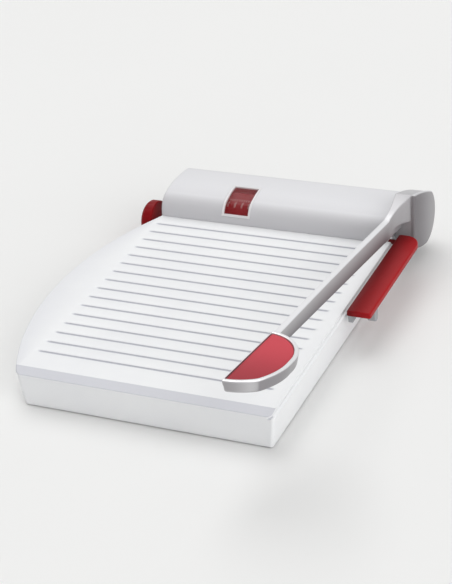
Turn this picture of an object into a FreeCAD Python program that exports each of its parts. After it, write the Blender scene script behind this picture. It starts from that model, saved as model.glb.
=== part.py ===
import FreeCAD, Part
import os
import re
import Sketcher

# Table-top wire slicer. A ribbed board carries a hood at its rear, a knob at the left sets how thick
# the slices are, and an arm hinged at the rear right pulls a wire down past the board's right edge.
# The origin is the middle of the base's underside, +X to the right, +Y to the rear and +Z up.

# Driving sizes in millimetres, unless the name says count, angle or bulge
SIZES = {
    # base
    "base_width": 230, "base_depth": 300, "board_height": 27.2, "side_bow": 31, "hood_depth": 62,
    "base_wall": 3, "board_skin": 3, "side_draft": 3.5, "corner_radius": 4, "end_inset": 6,
    "overrun": 1,
    "bevel_width": 9, "bevel_drop": 1.6, "lip_drop": 3, "lip_depth": 0.8,
    "groove_pitch": 13.04, "groove_start": 30, "groove_width": 2.2,
    "groove_depth": 1.2, "groove_length": 190, "groove_margin": 10, "land_crown": 0.45,
    "crest_width": 1, "wire_slot_width": 2.4, "wire_slot_depth": 1.8,
    "rib_thickness": 2, "long_rib_count": 4, "cross_rib_count": 3,
    # closing plate, feet and screws
    "plate_thickness": 2, "plate_gap": 0.2, "foot_diameter": 14, "foot_proud": 0.8, "foot_seat": 1,
    "foot_inset": 22, "screw_diameter": 3, "screw_head_diameter": 6, "screw_head_height": 1.5,
    "screw_length": 12, "screw_inset": 9, "boss_wall": 2.5, "fit_gap": 0.1,
    # hood and window
    "hood_height": 19.1, "hood_wall": 2.5, "hood_rounding": 2,
    "window_width": 21, "window_left": 56, "window_low": 8, "window_rear": 28, "border_width": 2,
    "lens_thickness": 1.8, "lens_recess": 0.3, "strip_gap": 2, "strip_thickness": 1,
    # thickness knob, spindle and guide rod
    "knob_diameter": 32, "knob_thickness": 11, "knob_gap": 7, "knob_drop": 9, "knob_back": 8,
    "knob_socket": 8, "spindle_diameter": 6, "run_gap": 0.05, "collar_width": 2, "collar_rise": 1.5,
    "bush_wall": 1.5, "bush_flange": 1.2, "bush_flange_rise": 0.4, "bearing_length": 8,
    "bearing_right_inset": 3.5, "rod_diameter": 5, "rod_spacing": 16, "rod_seat": 2,
    # stop plate and carriage
    "stop_gap": 3.2, "stop_width": 18.4, "stop_length": 116.5, "stop_thickness": 4.5, "stop_rise": 4,
    "stop_past_hood": 10, "stop_corner": 12, "stop_rounding": 1, "stop_travel": 9,
    "tongue_width": 7, "tongue_thickness": 3, "tongue_drop": 1.6, "tongue_step": 0.7,
    "slot_gap": 0.4, "guide_pin_diameter": 5, "guide_pin_drop": 7, "guide_pin_front": 14.5,
    "guide_reach": 16, "lug_thickness": 6, "guide_boss_wall": 2,
    "strip_clearance": 2, "lug_length": 10, "carriage_wall": 3, "bridge_thickness": 3,
    # arm, hub and pivot
    "rest_angle": 9, "pivot_inset": 14, "pin_diameter": 8, "pin_head_thickness": 3,
    "pin_head_rise": 2.5, "washer_rise": 4, "side_gap": 0.2, "rear_washer_thickness": 0.8,
    "bracket_width": 23, "bracket_depth": 22, "bracket_rise": 10,
    "bracket_chamfer": 3, "bar_thickness": 5, "bar_lift": 0.8, "bar_reach": 271.5,
    "bar_front_height": 10.4, "bar_rear_height": 14.7, "bar_crown_bulge": 0.0074,
    "hub_radius": 21, "hub_front": 32, "hub_top": 28.8, "hub_bottom": 14.3, "hub_thickness": 13.7,
    "cap_thickness": 3, "cap_overhang": 0.6, "cap_rounding": 0.8, "flare_length": 27,
    "flare_step": 0.5, "flare_low": 5, "flare_bulge": 0.2, "boss_crown_bulge": 0.12, "throat": 4,
    # wire and its two ends
    "wire_diameter": 0.8, "wire_drop": 0.6, "anchor_back": 3.5, "anchor_length": 6,
    "anchor_width": 1.8, "anchor_drop": 0.5, "tension_screw_diameter": 4, "tension_screw_length": 18,
    "tension_screw_inset": 3,
    # handle
    "handle_length": 81.3, "handle_width": 31.3, "handle_height": 8.8, "handle_top": 12.3,
    "handle_taper_angle": 12, "handle_rounding": 0.8, "rim_width": 3.4, "inset_depth": 3,
    "inset_below": 0.7, "inset_rounding": 0.5, "tang_length": 30, "tang_height": 3, "tang_width": 4,
    "tang_drop": 3.6, "handle_screw_spacing": 14,
}

doc = FreeCAD.newDocument("WireSlicer")
sheet = doc.addObject("Spreadsheet::Sheet", "Sizes")
for row, (alias, size) in enumerate(SIZES.items(), start=1):
    sheet.set(f"A{row}", alias)
    sheet.set(f"B{row}", str(size))
    sheet.setAlias(f"B{row}", alias)
doc.recompute()

nodes = []


def bound(text):
    """The expression with each size's name written as the sheet's cell."""
    return re.sub(r"[a-z_]{3,}", lambda word: f"Sizes.{word[0]}" if word[0] in SIZES else word[0], text)


def value(text):
    return float(sheet.evalExpression(bound(text)))


def bind(thing, prop, text):
    thing.setExpression(prop, bound(text))


# Places that several pieces share, worked out from the sizes
RIGHT = "(base_width / 2)"
FRONT = "(-base_depth / 2)"
BACK = "(base_depth / 2)"
LEFT = "(side_bow - base_width / 2)"
END_RIGHT = "(base_width / 2 - end_inset)"
CUT_DEPTH = "(base_depth - hood_depth)"
HOOD_FRONT = f"({BACK} - hood_depth)"
BAY_FRONT = f"({HOOD_FRONT} + base_wall)"
SIDE_INSET = "(base_wall + side_draft)"
BOW_RADIUS = f"(({CUT_DEPTH} ^ 2 / 4 + side_bow ^ 2) / (2 * side_bow))"
BOW_X = f"({BOW_RADIUS} - base_width / 2)"
BOW_Y = f"({FRONT} + {CUT_DEPTH} / 2)"
WIRE_X = f"({RIGHT} - wire_slot_width / 2)"
PIVOT_Y = f"({BACK} - pivot_inset)"
SPINDLE_Y = f"({HOOD_FRONT} + knob_back)"
SPINDLE_Z = "(board_height - knob_drop)"
ROD_Y = f"({SPINDLE_Y} + rod_spacing)"
ROD_LEFT = f"({LEFT} + {SIDE_INSET} - rod_seat)"
ROD_LENGTH = f"({END_RIGHT} - {LEFT} - 2 * {SIDE_INSET} + 2 * rod_seat)"
KNOB_INNER = f"({LEFT} - knob_gap)"
BEARING_RIGHT = f"({END_RIGHT} - {SIDE_INSET} - bearing_right_inset)"
STOP_LEFT = f"({WIRE_X} + stop_gap)"
STOP_REAR = f"({HOOD_FRONT} + stop_past_hood)"
STOP_FRONT = f"({STOP_REAR} - stop_length)"
TONGUE_TOP = "(board_height - tongue_drop)"
TONGUE_FRONT = f"({BAY_FRONT} + tongue_step)"
CARRIAGE_RIGHT = f"({BEARING_RIGHT} - bearing_length - stop_travel - base_wall)"
LUG_TOP = f"({TONGUE_TOP} - tongue_thickness)"
GUIDE_Y = f"({STOP_FRONT} + guide_pin_front)"
GUIDE_Z = "(board_height - guide_pin_drop)"
WINDOW_X = f"({LEFT} + window_left + window_width / 2)"
STRIP_LEFT = f"({WINDOW_X} - window_width / 2 - stop_travel - strip_thickness)"
CARRIAGE_LEFT = f"({STRIP_LEFT} - strip_clearance - lug_length)"
CARRIAGE_LENGTH = f"({CARRIAGE_RIGHT} - {CARRIAGE_LEFT})"
SCREW_Y = f"({SPINDLE_Y} + rod_spacing / 2)"
BRACKET_LEFT = f"({END_RIGHT} - {SIDE_INSET} - bracket_width)"
HUB_FACE = "(-bar_thickness / 2)"


def new_body(node):
    body = doc.addObject("PartDesign::Body", node)
    body.Label = node
    nodes.append(body)
    return body


def arm_body(node):
    """A body in the arm's own frame: the pivot on X, the bar towards -Y, turned up to its rest pose."""
    body = new_body(node)
    body.Placement = FreeCAD.Placement(FreeCAD.Vector(), FreeCAD.Rotation(FreeCAD.Vector(-1, 0, 0), 1))
    bind(body, "Placement.Rotation.Angle", "rest_angle")
    bind(body, "Placement.Base.x", WIRE_X)
    bind(body, "Placement.Base.y", PIVOT_Y)
    bind(body, "Placement.Base.z", "board_height")
    return body


def origin_part(body, role):
    return [part for part in body.Origin.OriginFeatures if part.Role == role][0]


def new_sketch(body, plane, away):
    sketch = body.newObject("Sketcher::SketchObject", f"{body.Name}_sketch")
    sketch.AttachmentSupport = [(origin_part(body, plane), "")]
    sketch.MapMode = "FlatFace"
    bind(sketch, "AttachmentOffset.Base.z", away)
    return sketch


def place_point(sketch, edge, end, u, v):
    """Hold one point of a sketch at u, v through the sheet."""
    for kind, text in (("DistanceX", u), ("DistanceY", v)):
        number = sketch.addConstraint(Sketcher.Constraint(kind, -1, 1, edge, end, value(text)))
        bind(sketch, f"Constraints[{number}]", text)


def add_outline(sketch, corners):
    """Closed outline. A corner is (u, v), or (u, v, bulge) where an arc leads to the next corner: the
    bulge is twice the arc's rise over its chord, positive where the arc lies right of the way along."""
    first = sketch.GeometryCount
    spots = [FreeCAD.Vector(value(corner[0]), value(corner[1]), 0) for corner in corners]
    ends = []
    for number, corner in enumerate(corners):
        start, end = spots[number], spots[(number + 1) % len(spots)]
        bulge = value(corner[2]) if len(corner) == 3 else 0
        # An arc is drawn counter-clockwise, so one that lies left of the way runs from its end
        ends.append((2, 1) if bulge < 0 else (1, 2))
        if bulge == 0:
            sketch.addGeometry(Part.LineSegment(start, end), False)
            continue
        along = end - start
        middle = (start + end) * 0.5 + FreeCAD.Vector(along.y, -along.x, 0) * (bulge / 2)
        sketch.addGeometry(Part.Arc(end, middle, start) if bulge < 0 else Part.Arc(start, middle, end), False)
    for number, corner in enumerate(corners):
        following = (number + 1) % len(corners)
        joint = (first + number, ends[number][1], first + following, ends[following][0])
        sketch.addConstraint(Sketcher.Constraint("Coincident", *joint))
        place_point(sketch, first + number, ends[number][0], corner[0], corner[1])
        if len(corner) == 3:
            after = corners[following]
            chord = f"sqrt((({after[0]}) - ({corner[0]})) ^ 2 + (({after[1]}) - ({corner[1]})) ^ 2)"
            bulge = f"({corner[2]})"
            radius = f"{chord} * abs((1 + {bulge} ^ 2) / (4 * {bulge}))"
            held = sketch.addConstraint(Sketcher.Constraint("Radius", first + number, value(radius)))
            bind(sketch, f"Constraints[{held}]", radius)


def add_circle(sketch, u, v, diameter):
    middle = FreeCAD.Vector(value(u), value(v), 0)
    circle = Part.Circle(middle, FreeCAD.Vector(0, 0, 1), value(diameter) / 2)
    edge = sketch.addGeometry(circle, False)
    place_point(sketch, edge, 3, u, v)
    number = sketch.addConstraint(Sketcher.Constraint("Diameter", edge, value(diameter)))
    bind(sketch, f"Constraints[{number}]", diameter)


def drawn(body, plane, away, outlines=(), circles=()):
    sketch = new_sketch(body, plane, away)
    for corners in outlines:
        add_outline(sketch, corners)
    for circle in circles:
        add_circle(sketch, *circle)
    return sketch


def box_outline(u_low, u_high, v_low, v_high):
    return [(u_low, v_low), (u_high, v_low), (u_high, v_high), (u_low, v_high)]


def pad(body, sketch, length, reverse=False):
    feature = body.newObject("PartDesign::Pad", f"{body.Name}_pad")
    feature.Profile = sketch
    bind(feature, "Length", length)
    feature.Reversed = reverse
    return feature


def pocket(body, sketch, length, reverse=False):
    feature = body.newObject("PartDesign::Pocket", f"{body.Name}_pocket")
    feature.Profile = sketch
    bind(feature, "Length", length)
    feature.Reversed = reverse
    return feature


def revolve(body, corners):
    """Turn a profile drawn as (place along X, radius) once round the body's X axis."""
    sketch = drawn(body, "XY_Plane", "0", [corners])
    feature = body.newObject("PartDesign::Revolution", f"{body.Name}_revolution")
    feature.Profile = sketch
    feature.ReferenceAxis = (origin_part(body, "X_Axis"), [""])
    return feature


def pattern(body, feature, axis, length, count):
    """Repeat a feature along one of the body's axes."""
    repeat = body.newObject("PartDesign::LinearPattern", f"{body.Name}_pattern")
    repeat.Originals = [feature]
    repeat.Direction = (origin_part(body, axis), [""])
    bind(repeat, "Length", length)
    bind(repeat, "Occurrences", count)
    body.Tip = repeat
    return repeat


def ease(body, radius, wanted, kind="Fillet"):
    """Round or chamfer the edges for which wanted(edge) is true."""
    doc.recompute()
    base = body.Tip
    picked = [f"Edge{number + 1}" for number, edge in enumerate(base.Shape.Edges) if wanted(edge)]
    feature = body.newObject(f"PartDesign::{kind}", f"{body.Name}_{kind.lower()}")
    feature.Base = (base, picked)
    bind(feature, "Size" if kind == "Chamfer" else "Radius", radius)
    return feature


def upright(edge, reach=0.5):
    """Whether an edge is a straight line along Z."""
    box = edge.BoundBox
    return box.XLength < 1e-4 and box.YLength < 1e-4 and box.ZLength > reach


def is_corner(edge, half_depth):
    """Whether an edge goes up the front or the back plane at one of the base's corners."""
    box = edge.BoundBox
    at_end = abs(abs(box.YMin) - half_depth) < 1e-3 and abs(abs(box.YMax) - half_depth) < 1e-3
    return at_end and box.YLength < 1e-3 and box.ZLength > box.XLength


def looks_sideways(face):
    """Whether the middle of a face looks to the left or to the right."""
    u_low, u_high, v_low, v_high = face.ParameterRange
    normal = face.normalAt((u_low + u_high) / 2, (v_low + v_high) / 2)
    return abs(normal.x) > abs(normal.y) + abs(normal.z)


def draw_in(body, run, rise, wanted):
    """Lean the faces for which wanted(face) is true inwards from the top face down, by a run over a rise."""
    doc.recompute()
    base = body.Tip
    faces = base.Shape.Faces
    top = max(range(len(faces)), key=lambda number: faces[number].CenterOfMass.z)
    feature = body.newObject("PartDesign::Draft", f"{body.Name}_draft")
    feature.Base = (base, [f"Face{number + 1}" for number, face in enumerate(faces) if wanted(face)])
    feature.NeutralPlane = (base, [f"Face{top + 1}"])
    feature.Reversed = True
    bind(feature, "Angle", f"atan({run} / {rise})")
    return feature


def base_plan(side, end):
    """Plan of the base, moved in by one inset at its sides and by another at its front and back: the front
    is straight, the left side bowed and the right side stepped."""
    radius = f"({BOW_RADIUS} - {side})"
    front = f"({FRONT} + {end})"
    left = f"({LEFT} + {side})"
    left_front = f"({BOW_X} - sqrt({radius} ^ 2 - ({front} - {BOW_Y}) ^ 2))"
    bow_end = f"({BOW_Y} + sqrt({radius} ^ 2 - ({BOW_X} - {left}) ^ 2))"
    chord = f"sqrt(({left} - {left_front}) ^ 2 + ({bow_end} - {front}) ^ 2)"
    bulge = f"(({radius} - sqrt({radius} ^ 2 - {chord} ^ 2 / 4)) * 2 / {chord})"
    right, end_right, back = f"({RIGHT} - {side})", f"({END_RIGHT} - {side})", f"({BACK} - {end})"
    step = f"({BAY_FRONT} - {end})"
    return [(right, front), (right, step), (end_right, step), (end_right, back), (left, back),
            (left, bow_end, bulge), (left_front, front)]


SCREW_PLACES = [
    (f"({RIGHT} - base_wall - screw_inset)", f"({FRONT} + base_wall + screw_inset)"),
    (f"({LEFT} + base_wall + screw_inset)", f"({FRONT} + base_wall + screw_inset)"),
    (f"({RIGHT} - base_wall - screw_inset)", f"({HOOD_FRONT} - base_wall - screw_inset)"),
    (f"({LEFT} + base_wall + screw_inset)", f"({HOOD_FRONT} - base_wall - screw_inset)"),
    (f"({LEFT} + base_wall + screw_inset)", f"({BACK} - base_wall - screw_inset)"),
    (f"({BRACKET_LEFT} - base_wall - screw_inset)", f"({BACK} - base_wall - screw_inset)"),
]
FOOT_PLACES = [(f"({RIGHT} - foot_inset)", f"({FRONT} + foot_inset)"),
               (f"({LEFT} + foot_inset)", f"({FRONT} + foot_inset)"),
               (f"({END_RIGHT} - foot_inset)", f"({BACK} - foot_inset)"),
               (f"({LEFT} + foot_inset)", f"({BACK} - foot_inset)")]


# Width of a groove's floor as a share of its mouth
FLOOR_SHARE = 0.6


def make_base_board():
    """Ribbed board moulding: hollow underneath, with a bay at the rear for the mechanism."""
    body = new_body("base_board")
    pad(body, drawn(body, "XY_Plane", "0", [base_plan("0", "0")]), "board_height")
    draw_in(body, "side_draft", "board_height", looks_sideways)
    half_depth = value("base_depth / 2")
    ease(body, "corner_radius", lambda edge: is_corner(edge, half_depth))
    over_front = f"({FRONT} - overrun)"
    over_top = "(board_height + overrun)"
    bevel = [(over_front, over_top), (f"({FRONT} + bevel_width)", over_top),
             (f"({FRONT} + bevel_width)", "board_height"), (FRONT, "(board_height - bevel_drop)"),
             (over_front, "(board_height - bevel_drop)")]
    lip = box_outline(over_front, f"({FRONT} + lip_depth)", "(-overrun)", "(board_height - lip_drop)")
    cut = drawn(body, "YZ_Plane", f"({RIGHT} + overrun)", [bevel, lip])
    pocket(body, cut, "base_width + 2 * overrun")
    # Hollow under the board, straight up inside walls that lean in at their foot
    radius = f"({BOW_RADIUS} - {SIDE_INSET})"
    inner_front, inner_right = f"({FRONT} + base_wall)", f"({RIGHT} - {SIDE_INSET})"
    reach = f"({CUT_DEPTH} / 2)"
    left_front = f"({BOW_X} - sqrt({radius} ^ 2 - ({reach} - base_wall) ^ 2))"
    left_rear = f"({BOW_X} - sqrt({radius} ^ 2 - {reach} ^ 2))"
    chord = f"sqrt(({left_rear} - {left_front}) ^ 2 + ({HOOD_FRONT} - {inner_front}) ^ 2)"
    bulge = f"(({radius} - sqrt({radius} ^ 2 - {chord} ^ 2 / 4)) * 2 / {chord})"
    hollow = [(inner_right, inner_front), (inner_right, HOOD_FRONT), (left_rear, HOOD_FRONT, bulge),
              (left_front, inner_front)]
    pocket(body, drawn(body, "XY_Plane", "0", [hollow]), "board_height - board_skin", reverse=True)
    bay = box_outline(f"({LEFT} + {SIDE_INSET})", f"({END_RIGHT} - {SIDE_INSET})",
                      BAY_FRONT, f"({BACK} - base_wall)")
    pocket(body, drawn(body, "XY_Plane", "0", [bay]), "board_height + overrun", reverse=True)
    # Ribs under the board
    rib_height = "board_height - board_skin / 2 - plate_thickness"
    spacing = "((base_width - side_bow) / (long_rib_count + 1))"
    first = f"({LEFT} + {spacing})"
    rib = box_outline(f"({first} - rib_thickness / 2)", f"({first} + rib_thickness / 2)",
                      f"({FRONT} + base_wall / 2)", f"({HOOD_FRONT} + base_wall / 2)")
    rib_pad = pad(body, drawn(body, "XY_Plane", "plate_thickness", [rib]), rib_height)
    pattern(body, rib_pad, "X_Axis", f"{spacing} * (long_rib_count - 1)", "long_rib_count")
    into_wall = f"({SIDE_INSET} - base_wall / 2)"
    ribs = []
    for number in range(int(SIZES["cross_rib_count"])):
        middle = f"({FRONT} + {CUT_DEPTH} * {number + 1} / (cross_rib_count + 1))"
        left = f"({BOW_X} - sqrt(({BOW_RADIUS} - {into_wall}) ^ 2 - ({middle} - {BOW_Y}) ^ 2))"
        ribs.append(box_outline(left, f"({RIGHT} - {into_wall})", f"({middle} - rib_thickness / 2)",
                                f"({middle} + rib_thickness / 2)"))
    pad(body, drawn(body, "XY_Plane", "plate_thickness", ribs), rib_height)
    # Screw bosses and the boss that guides the stop's front pin
    boss = "(screw_diameter + 2 * boss_wall)"
    front_bosses = drawn(body, "XY_Plane", "plate_thickness",
                         circles=[(x, y, boss) for x, y in SCREW_PLACES[:4]])
    pad(body, front_bosses, rib_height)
    reach = "(screw_diameter / 2 + boss_wall)"
    rear_blocks = [box_outline(f"({x} - {reach})", f"({x} + {reach})", f"({y} - {reach})",
                               f"({BACK} - base_wall / 2)") for x, y in SCREW_PLACES[4:]]
    pad(body, drawn(body, "XY_Plane", "plate_thickness", rear_blocks), "screw_length + boss_wall")
    guide_boss = "(guide_pin_diameter + 2 * guide_boss_wall)"
    guide_sketch = drawn(body, "YZ_Plane", f"({RIGHT} - {into_wall})",
                         circles=[(GUIDE_Y, GUIDE_Z, guide_boss)])
    pad(body, guide_sketch, "guide_reach", reverse=True)
    # Cuts: plate rebate, screw holes, bores, tongue slot, wire rebate, then the grooves
    rebate = drawn(body, "XY_Plane", "0", [base_plan("(side_draft + base_wall / 2)", "(base_wall / 2)")])
    pocket(body, rebate, "plate_thickness", reverse=True)
    screw_holes = drawn(body, "XY_Plane", "0", circles=[(x, y, "screw_diameter + 2 * fit_gap")
                                                         for x, y in SCREW_PLACES])
    pocket(body, screw_holes, "screw_length + fit_gap", reverse=True)
    guide_hole = drawn(body, "YZ_Plane", f"({RIGHT} + overrun)",
                       circles=[(GUIDE_Y, GUIDE_Z, "guide_pin_diameter + 2 * run_gap")])
    pocket(body, guide_hole, f"guide_reach + {into_wall} + 2 * overrun")
    left_holes = drawn(body, "YZ_Plane", f"({LEFT} - overrun)",
                       circles=[(SPINDLE_Y, SPINDLE_Z, "spindle_diameter + 2 * (bush_wall + run_gap)")])
    pocket(body, left_holes, f"{SIDE_INSET} + 2 * overrun", reverse=True)
    rod_left = drawn(body, "YZ_Plane", ROD_LEFT, circles=[(ROD_Y, SPINDLE_Z, "rod_diameter + 2 * run_gap")])
    pocket(body, rod_left, ROD_LENGTH, reverse=True)
    pin_hole = drawn(body, "YZ_Plane", f"({END_RIGHT} + overrun)",
                     circles=[(PIVOT_Y, "board_height", "pin_diameter + 2 * fit_gap")])
    pocket(body, pin_hole, f"{SIDE_INSET} + 2 * overrun")
    slot = box_outline(f"({END_RIGHT} - {SIDE_INSET} - overrun)", f"({END_RIGHT} + overrun)",
                       f"({TONGUE_FRONT} - slot_gap)", f"({TONGUE_FRONT} + tongue_width + slot_gap)")
    pocket(body, drawn(body, "XY_Plane", "board_height", [slot]), "tongue_drop + tongue_thickness + slot_gap")
    wire_slot = box_outline(f"({RIGHT} - wire_slot_width)", f"({RIGHT} + overrun)",
                            f"({FRONT} - overrun)", f"({BAY_FRONT} + overrun)")
    pocket(body, drawn(body, "XY_Plane", "board_height", [wire_slot]), "wire_slot_depth")
    # One groove with the crowned flanks of the lands beside it, repeated towards the hood
    middle = f"({FRONT} + groove_start)"
    flank = "(board_height - land_crown)"
    half_crest, half_groove = "((groove_pitch - crest_width) / 2)", "(groove_width / 2)"
    flank_bulge = "(land_crown / (groove_pitch - crest_width - groove_width) * 2)"
    half_floor, bottom = f"({half_groove} * {FLOOR_SHARE})", "(board_height - groove_depth)"
    groove = [(f"({middle} - {half_crest})", over_top),
              (f"({middle} - {half_crest})", "board_height", f"-{flank_bulge}"),
              (f"({middle} - {half_groove})", flank), (f"({middle} - {half_floor})", bottom),
              (f"({middle} + {half_floor})", bottom),
              (f"({middle} + {half_groove})", flank, f"-{flank_bulge}"),
              (f"({middle} + {half_crest})", "board_height"), (f"({middle} + {half_crest})", over_top)]
    groove_cut = pocket(body, drawn(body, "YZ_Plane", f"({RIGHT} - groove_margin)", [groove]),
                        "groove_length")
    count = f"(floor(({CUT_DEPTH} - groove_start - groove_pitch / 2) / groove_pitch) + 1)"
    pattern(body, groove_cut, "Y_Axis", f"groove_pitch * ({count} - 1)", count)


def make_bottom_plate():
    """Plate let into the base's underside, with seats for the feet and countersunk screw holes."""
    body = new_body("bottom_plate")
    plan = base_plan("(side_draft + base_wall / 2 + plate_gap)", "(base_wall / 2 + plate_gap)")
    pad(body, drawn(body, "XY_Plane", "0", [plan]), "plate_thickness")
    seats = [(x, y, "foot_diameter + 2 * fit_gap") for x, y in FOOT_PLACES]
    pocket(body, drawn(body, "XY_Plane", "0", circles=seats), "foot_seat", reverse=True)
    heads = [(x, y, "screw_head_diameter + 2 * fit_gap") for x, y in SCREW_PLACES]
    pocket(body, drawn(body, "XY_Plane", "0", circles=heads), "screw_head_height", reverse=True)
    holes = [(x, y, "screw_diameter + 2 * fit_gap") for x, y in SCREW_PLACES]
    pocket(body, drawn(body, "XY_Plane", "0", circles=holes), "plate_thickness + overrun", reverse=True)


def cylinder(name, x, y, z, diameter, height):
    """Upright cylinder that stands on x, y, z."""
    solid = doc.addObject("Part::Cylinder", name)
    bind(solid, "Radius", f"({diameter}) / 2")
    bind(solid, "Height", height)
    for axis, text in zip("xyz", (x, y, z)):
        bind(solid, f"Placement.Base.{axis}", text)
    return solid


def group(node, solids):
    """One node that holds several separate solids."""
    compound = doc.addObject("Part::Compound", node)
    compound.Links = solids
    compound.Label = node
    nodes.append(compound)


def make_feet():
    height = "foot_proud + foot_seat"
    group("rubber_feet", [cylinder(f"foot_{number}", x, y, "(-foot_proud)", "foot_diameter", height)
                          for number, (x, y) in enumerate(FOOT_PLACES)])


def make_screw(name, x, y, z, length, upwards=True):
    """Screw with its head's outer face at z; the shank goes up from it, or down."""
    low = z if upwards else f"({z} - screw_head_height)"
    head = cylinder(f"{name}_head", x, y, low, "screw_head_diameter", "screw_head_height")
    shank_low = f"({z} + screw_head_height)" if upwards else f"({z} - {length})"
    shank = cylinder(f"{name}_shank", x, y, shank_low, "screw_diameter", f"{length} - screw_head_height")
    screw = doc.addObject("Part::MultiFuse", name)
    screw.Shapes = [head, shank]
    return screw


def make_bottom_screws():
    group("bottom_screws", [make_screw(f"bottom_screw_{number}", x, y, "0", "screw_length")
                            for number, (x, y) in enumerate(SCREW_PLACES)])


# Places along the hood's section, as shares of its depth and of its height, with each arc's bulge
HOOD_SHARES = [(0.016, 0.314, 0.289), (0.202, 0.874, 0.083), (0.532, 1.0, 0.03), (0.839, 0.911, 0.3),
               (1.0, 0.366, None)]


def hood_section(inset, foot):
    """Section of the hood across Y and Z, from the front up and over, moved inwards by an inset."""
    front, back = f"({HOOD_FRONT} + {inset})", f"({BACK} - {inset})"
    corners = [(back, foot), (front, foot)]
    for deep, high, bulge in HOOD_SHARES:
        y = f"({front} + (hood_depth - 2 * {inset}) * {deep})"
        z = f"(board_height + (hood_height - {inset}) * {high})"
        corners.append((y, z) if bulge is None else (y, z, f"-{bulge}"))
    return corners


# Steps of the hood's rounded ends, as shares of the rounding: how far along, and how far in
END_SHARES = [(0, 0), (0.5, 0.134), (0.866, 0.5), (1, 1)]


def rounded_end(body, start, side):
    """Close one end of the hood with sections that draw in along a quarter round; side is + or -."""
    sketches = [drawn(body, "YZ_Plane", f"({start} {side} hood_rounding * {along})",
                      [hood_section(f"(hood_rounding * {inwards})", "board_height")])
                for along, inwards in END_SHARES]
    loft = body.newObject("PartDesign::AdditiveLoft", f"{body.Name}_end")
    loft.Profile = sketches[0]
    loft.Sections = sketches[1:]
    loft.Ruled = True


def make_rear_housing():
    """Hood moulding over the mechanism, open below, with the opening of the scale's window."""
    body = new_body("rear_housing")
    length = f"({END_RIGHT} - {LEFT})"
    full = drawn(body, "YZ_Plane", f"({LEFT} + hood_rounding)", [hood_section("0", "board_height")])
    pad(body, full, f"{length} - 2 * hood_rounding")
    rounded_end(body, f"({LEFT} + hood_rounding)", "-")
    rounded_end(body, f"({END_RIGHT} - hood_rounding)", "+")
    inner = drawn(body, "YZ_Plane", f"({LEFT} + hood_wall)",
                  [hood_section("hood_wall", "(board_height - overrun)")])
    pocket(body, inner, f"{length} - 2 * hood_wall", reverse=True)
    opening = box_outline(f"({HOOD_FRONT} - overrun)", f"({HOOD_FRONT} + window_rear + border_width)",
                          "(board_height + window_low - border_width)",
                          "(board_height + hood_height + overrun)")
    half = "(window_width / 2 + border_width)"
    pocket(body, drawn(body, "YZ_Plane", f"({WINDOW_X} + {half})", [opening]), f"2 * {half}")
    pin_hole = drawn(body, "YZ_Plane", f"({END_RIGHT} + overrun)",
                     circles=[(PIVOT_Y, "board_height", "pin_diameter + 2 * fit_gap")])
    pocket(body, pin_hole, "hood_wall + 2 * overrun")


def window_piece(node, half, margin, proud, thickness):
    """Shell over the window that follows the hood's section, with its outer face proud of the hood's. It is
    2 * half wide, and the margin takes it past the window at its lower and its rear edge."""
    body = new_body(node)
    outer = drawn(body, "YZ_Plane", f"({WINDOW_X} - {half})", [hood_section(f"(-({proud}))", "board_height")])
    pad(body, outer, f"2 * {half}")
    inner = drawn(body, "YZ_Plane", f"({WINDOW_X} - {half} - overrun)",
                  [hood_section(f"({thickness} - ({proud}))", "(board_height - overrun)")])
    pocket(body, inner, f"2 * {half} + 2 * overrun", reverse=True)
    low = f"(board_height + window_low - {margin})"
    rear = f"({HOOD_FRONT} + window_rear + {margin})"
    front, bottom = f"({HOOD_FRONT} - 2 * overrun)", "(board_height - 2 * overrun)"
    back, top = f"({BACK} + 2 * overrun)", "(board_height + hood_height + 2 * overrun)"
    away = [(front, bottom), (back, bottom), (back, top), (rear, top), (rear, low), (front, low)]
    cut = drawn(body, "YZ_Plane", f"({WINDOW_X} + {half} + overrun)", [away])
    pocket(body, cut, f"2 * {half} + 2 * overrun")
    return body


def make_window():
    """Pale border in the hood's opening, and the lens inside it."""
    border = window_piece("window_frame", "(window_width / 2 + border_width - fit_gap)",
                          "(border_width - fit_gap)", "lens_recess / 2", "(hood_wall + lens_recess / 2)")
    inside = box_outline(f"({HOOD_FRONT} - 2 * overrun)", f"({HOOD_FRONT} + window_rear)",
                         "(board_height + window_low)", "(board_height + hood_height + 2 * overrun)")
    half = "(window_width / 2)"
    pocket(border, drawn(border, "YZ_Plane", f"({WINDOW_X} + {half})", [inside]), f"2 * {half}")
    window_piece("window_lens", "(window_width / 2 - fit_gap)", "(-fit_gap)", "-lens_recess",
                 "lens_thickness")


def x_rod(body, start, length, y, z, diameter, bore=None):
    """Round bar along X, or a tube where a bore is given."""
    circles = [(y, z, diameter)] + ([(y, z, bore)] if bore else [])
    return pad(body, drawn(body, "YZ_Plane", start, circles=circles), length)


# The knob's profile as shares of its thickness and of its radius, with each arc's bulge
KNOB_SHARES = [(0, 0.95, None), (0.07, 1, None), (0.6, 1, 0.2), (0.94, 0.76, 0.06), (1, 0.1, None)]


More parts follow.
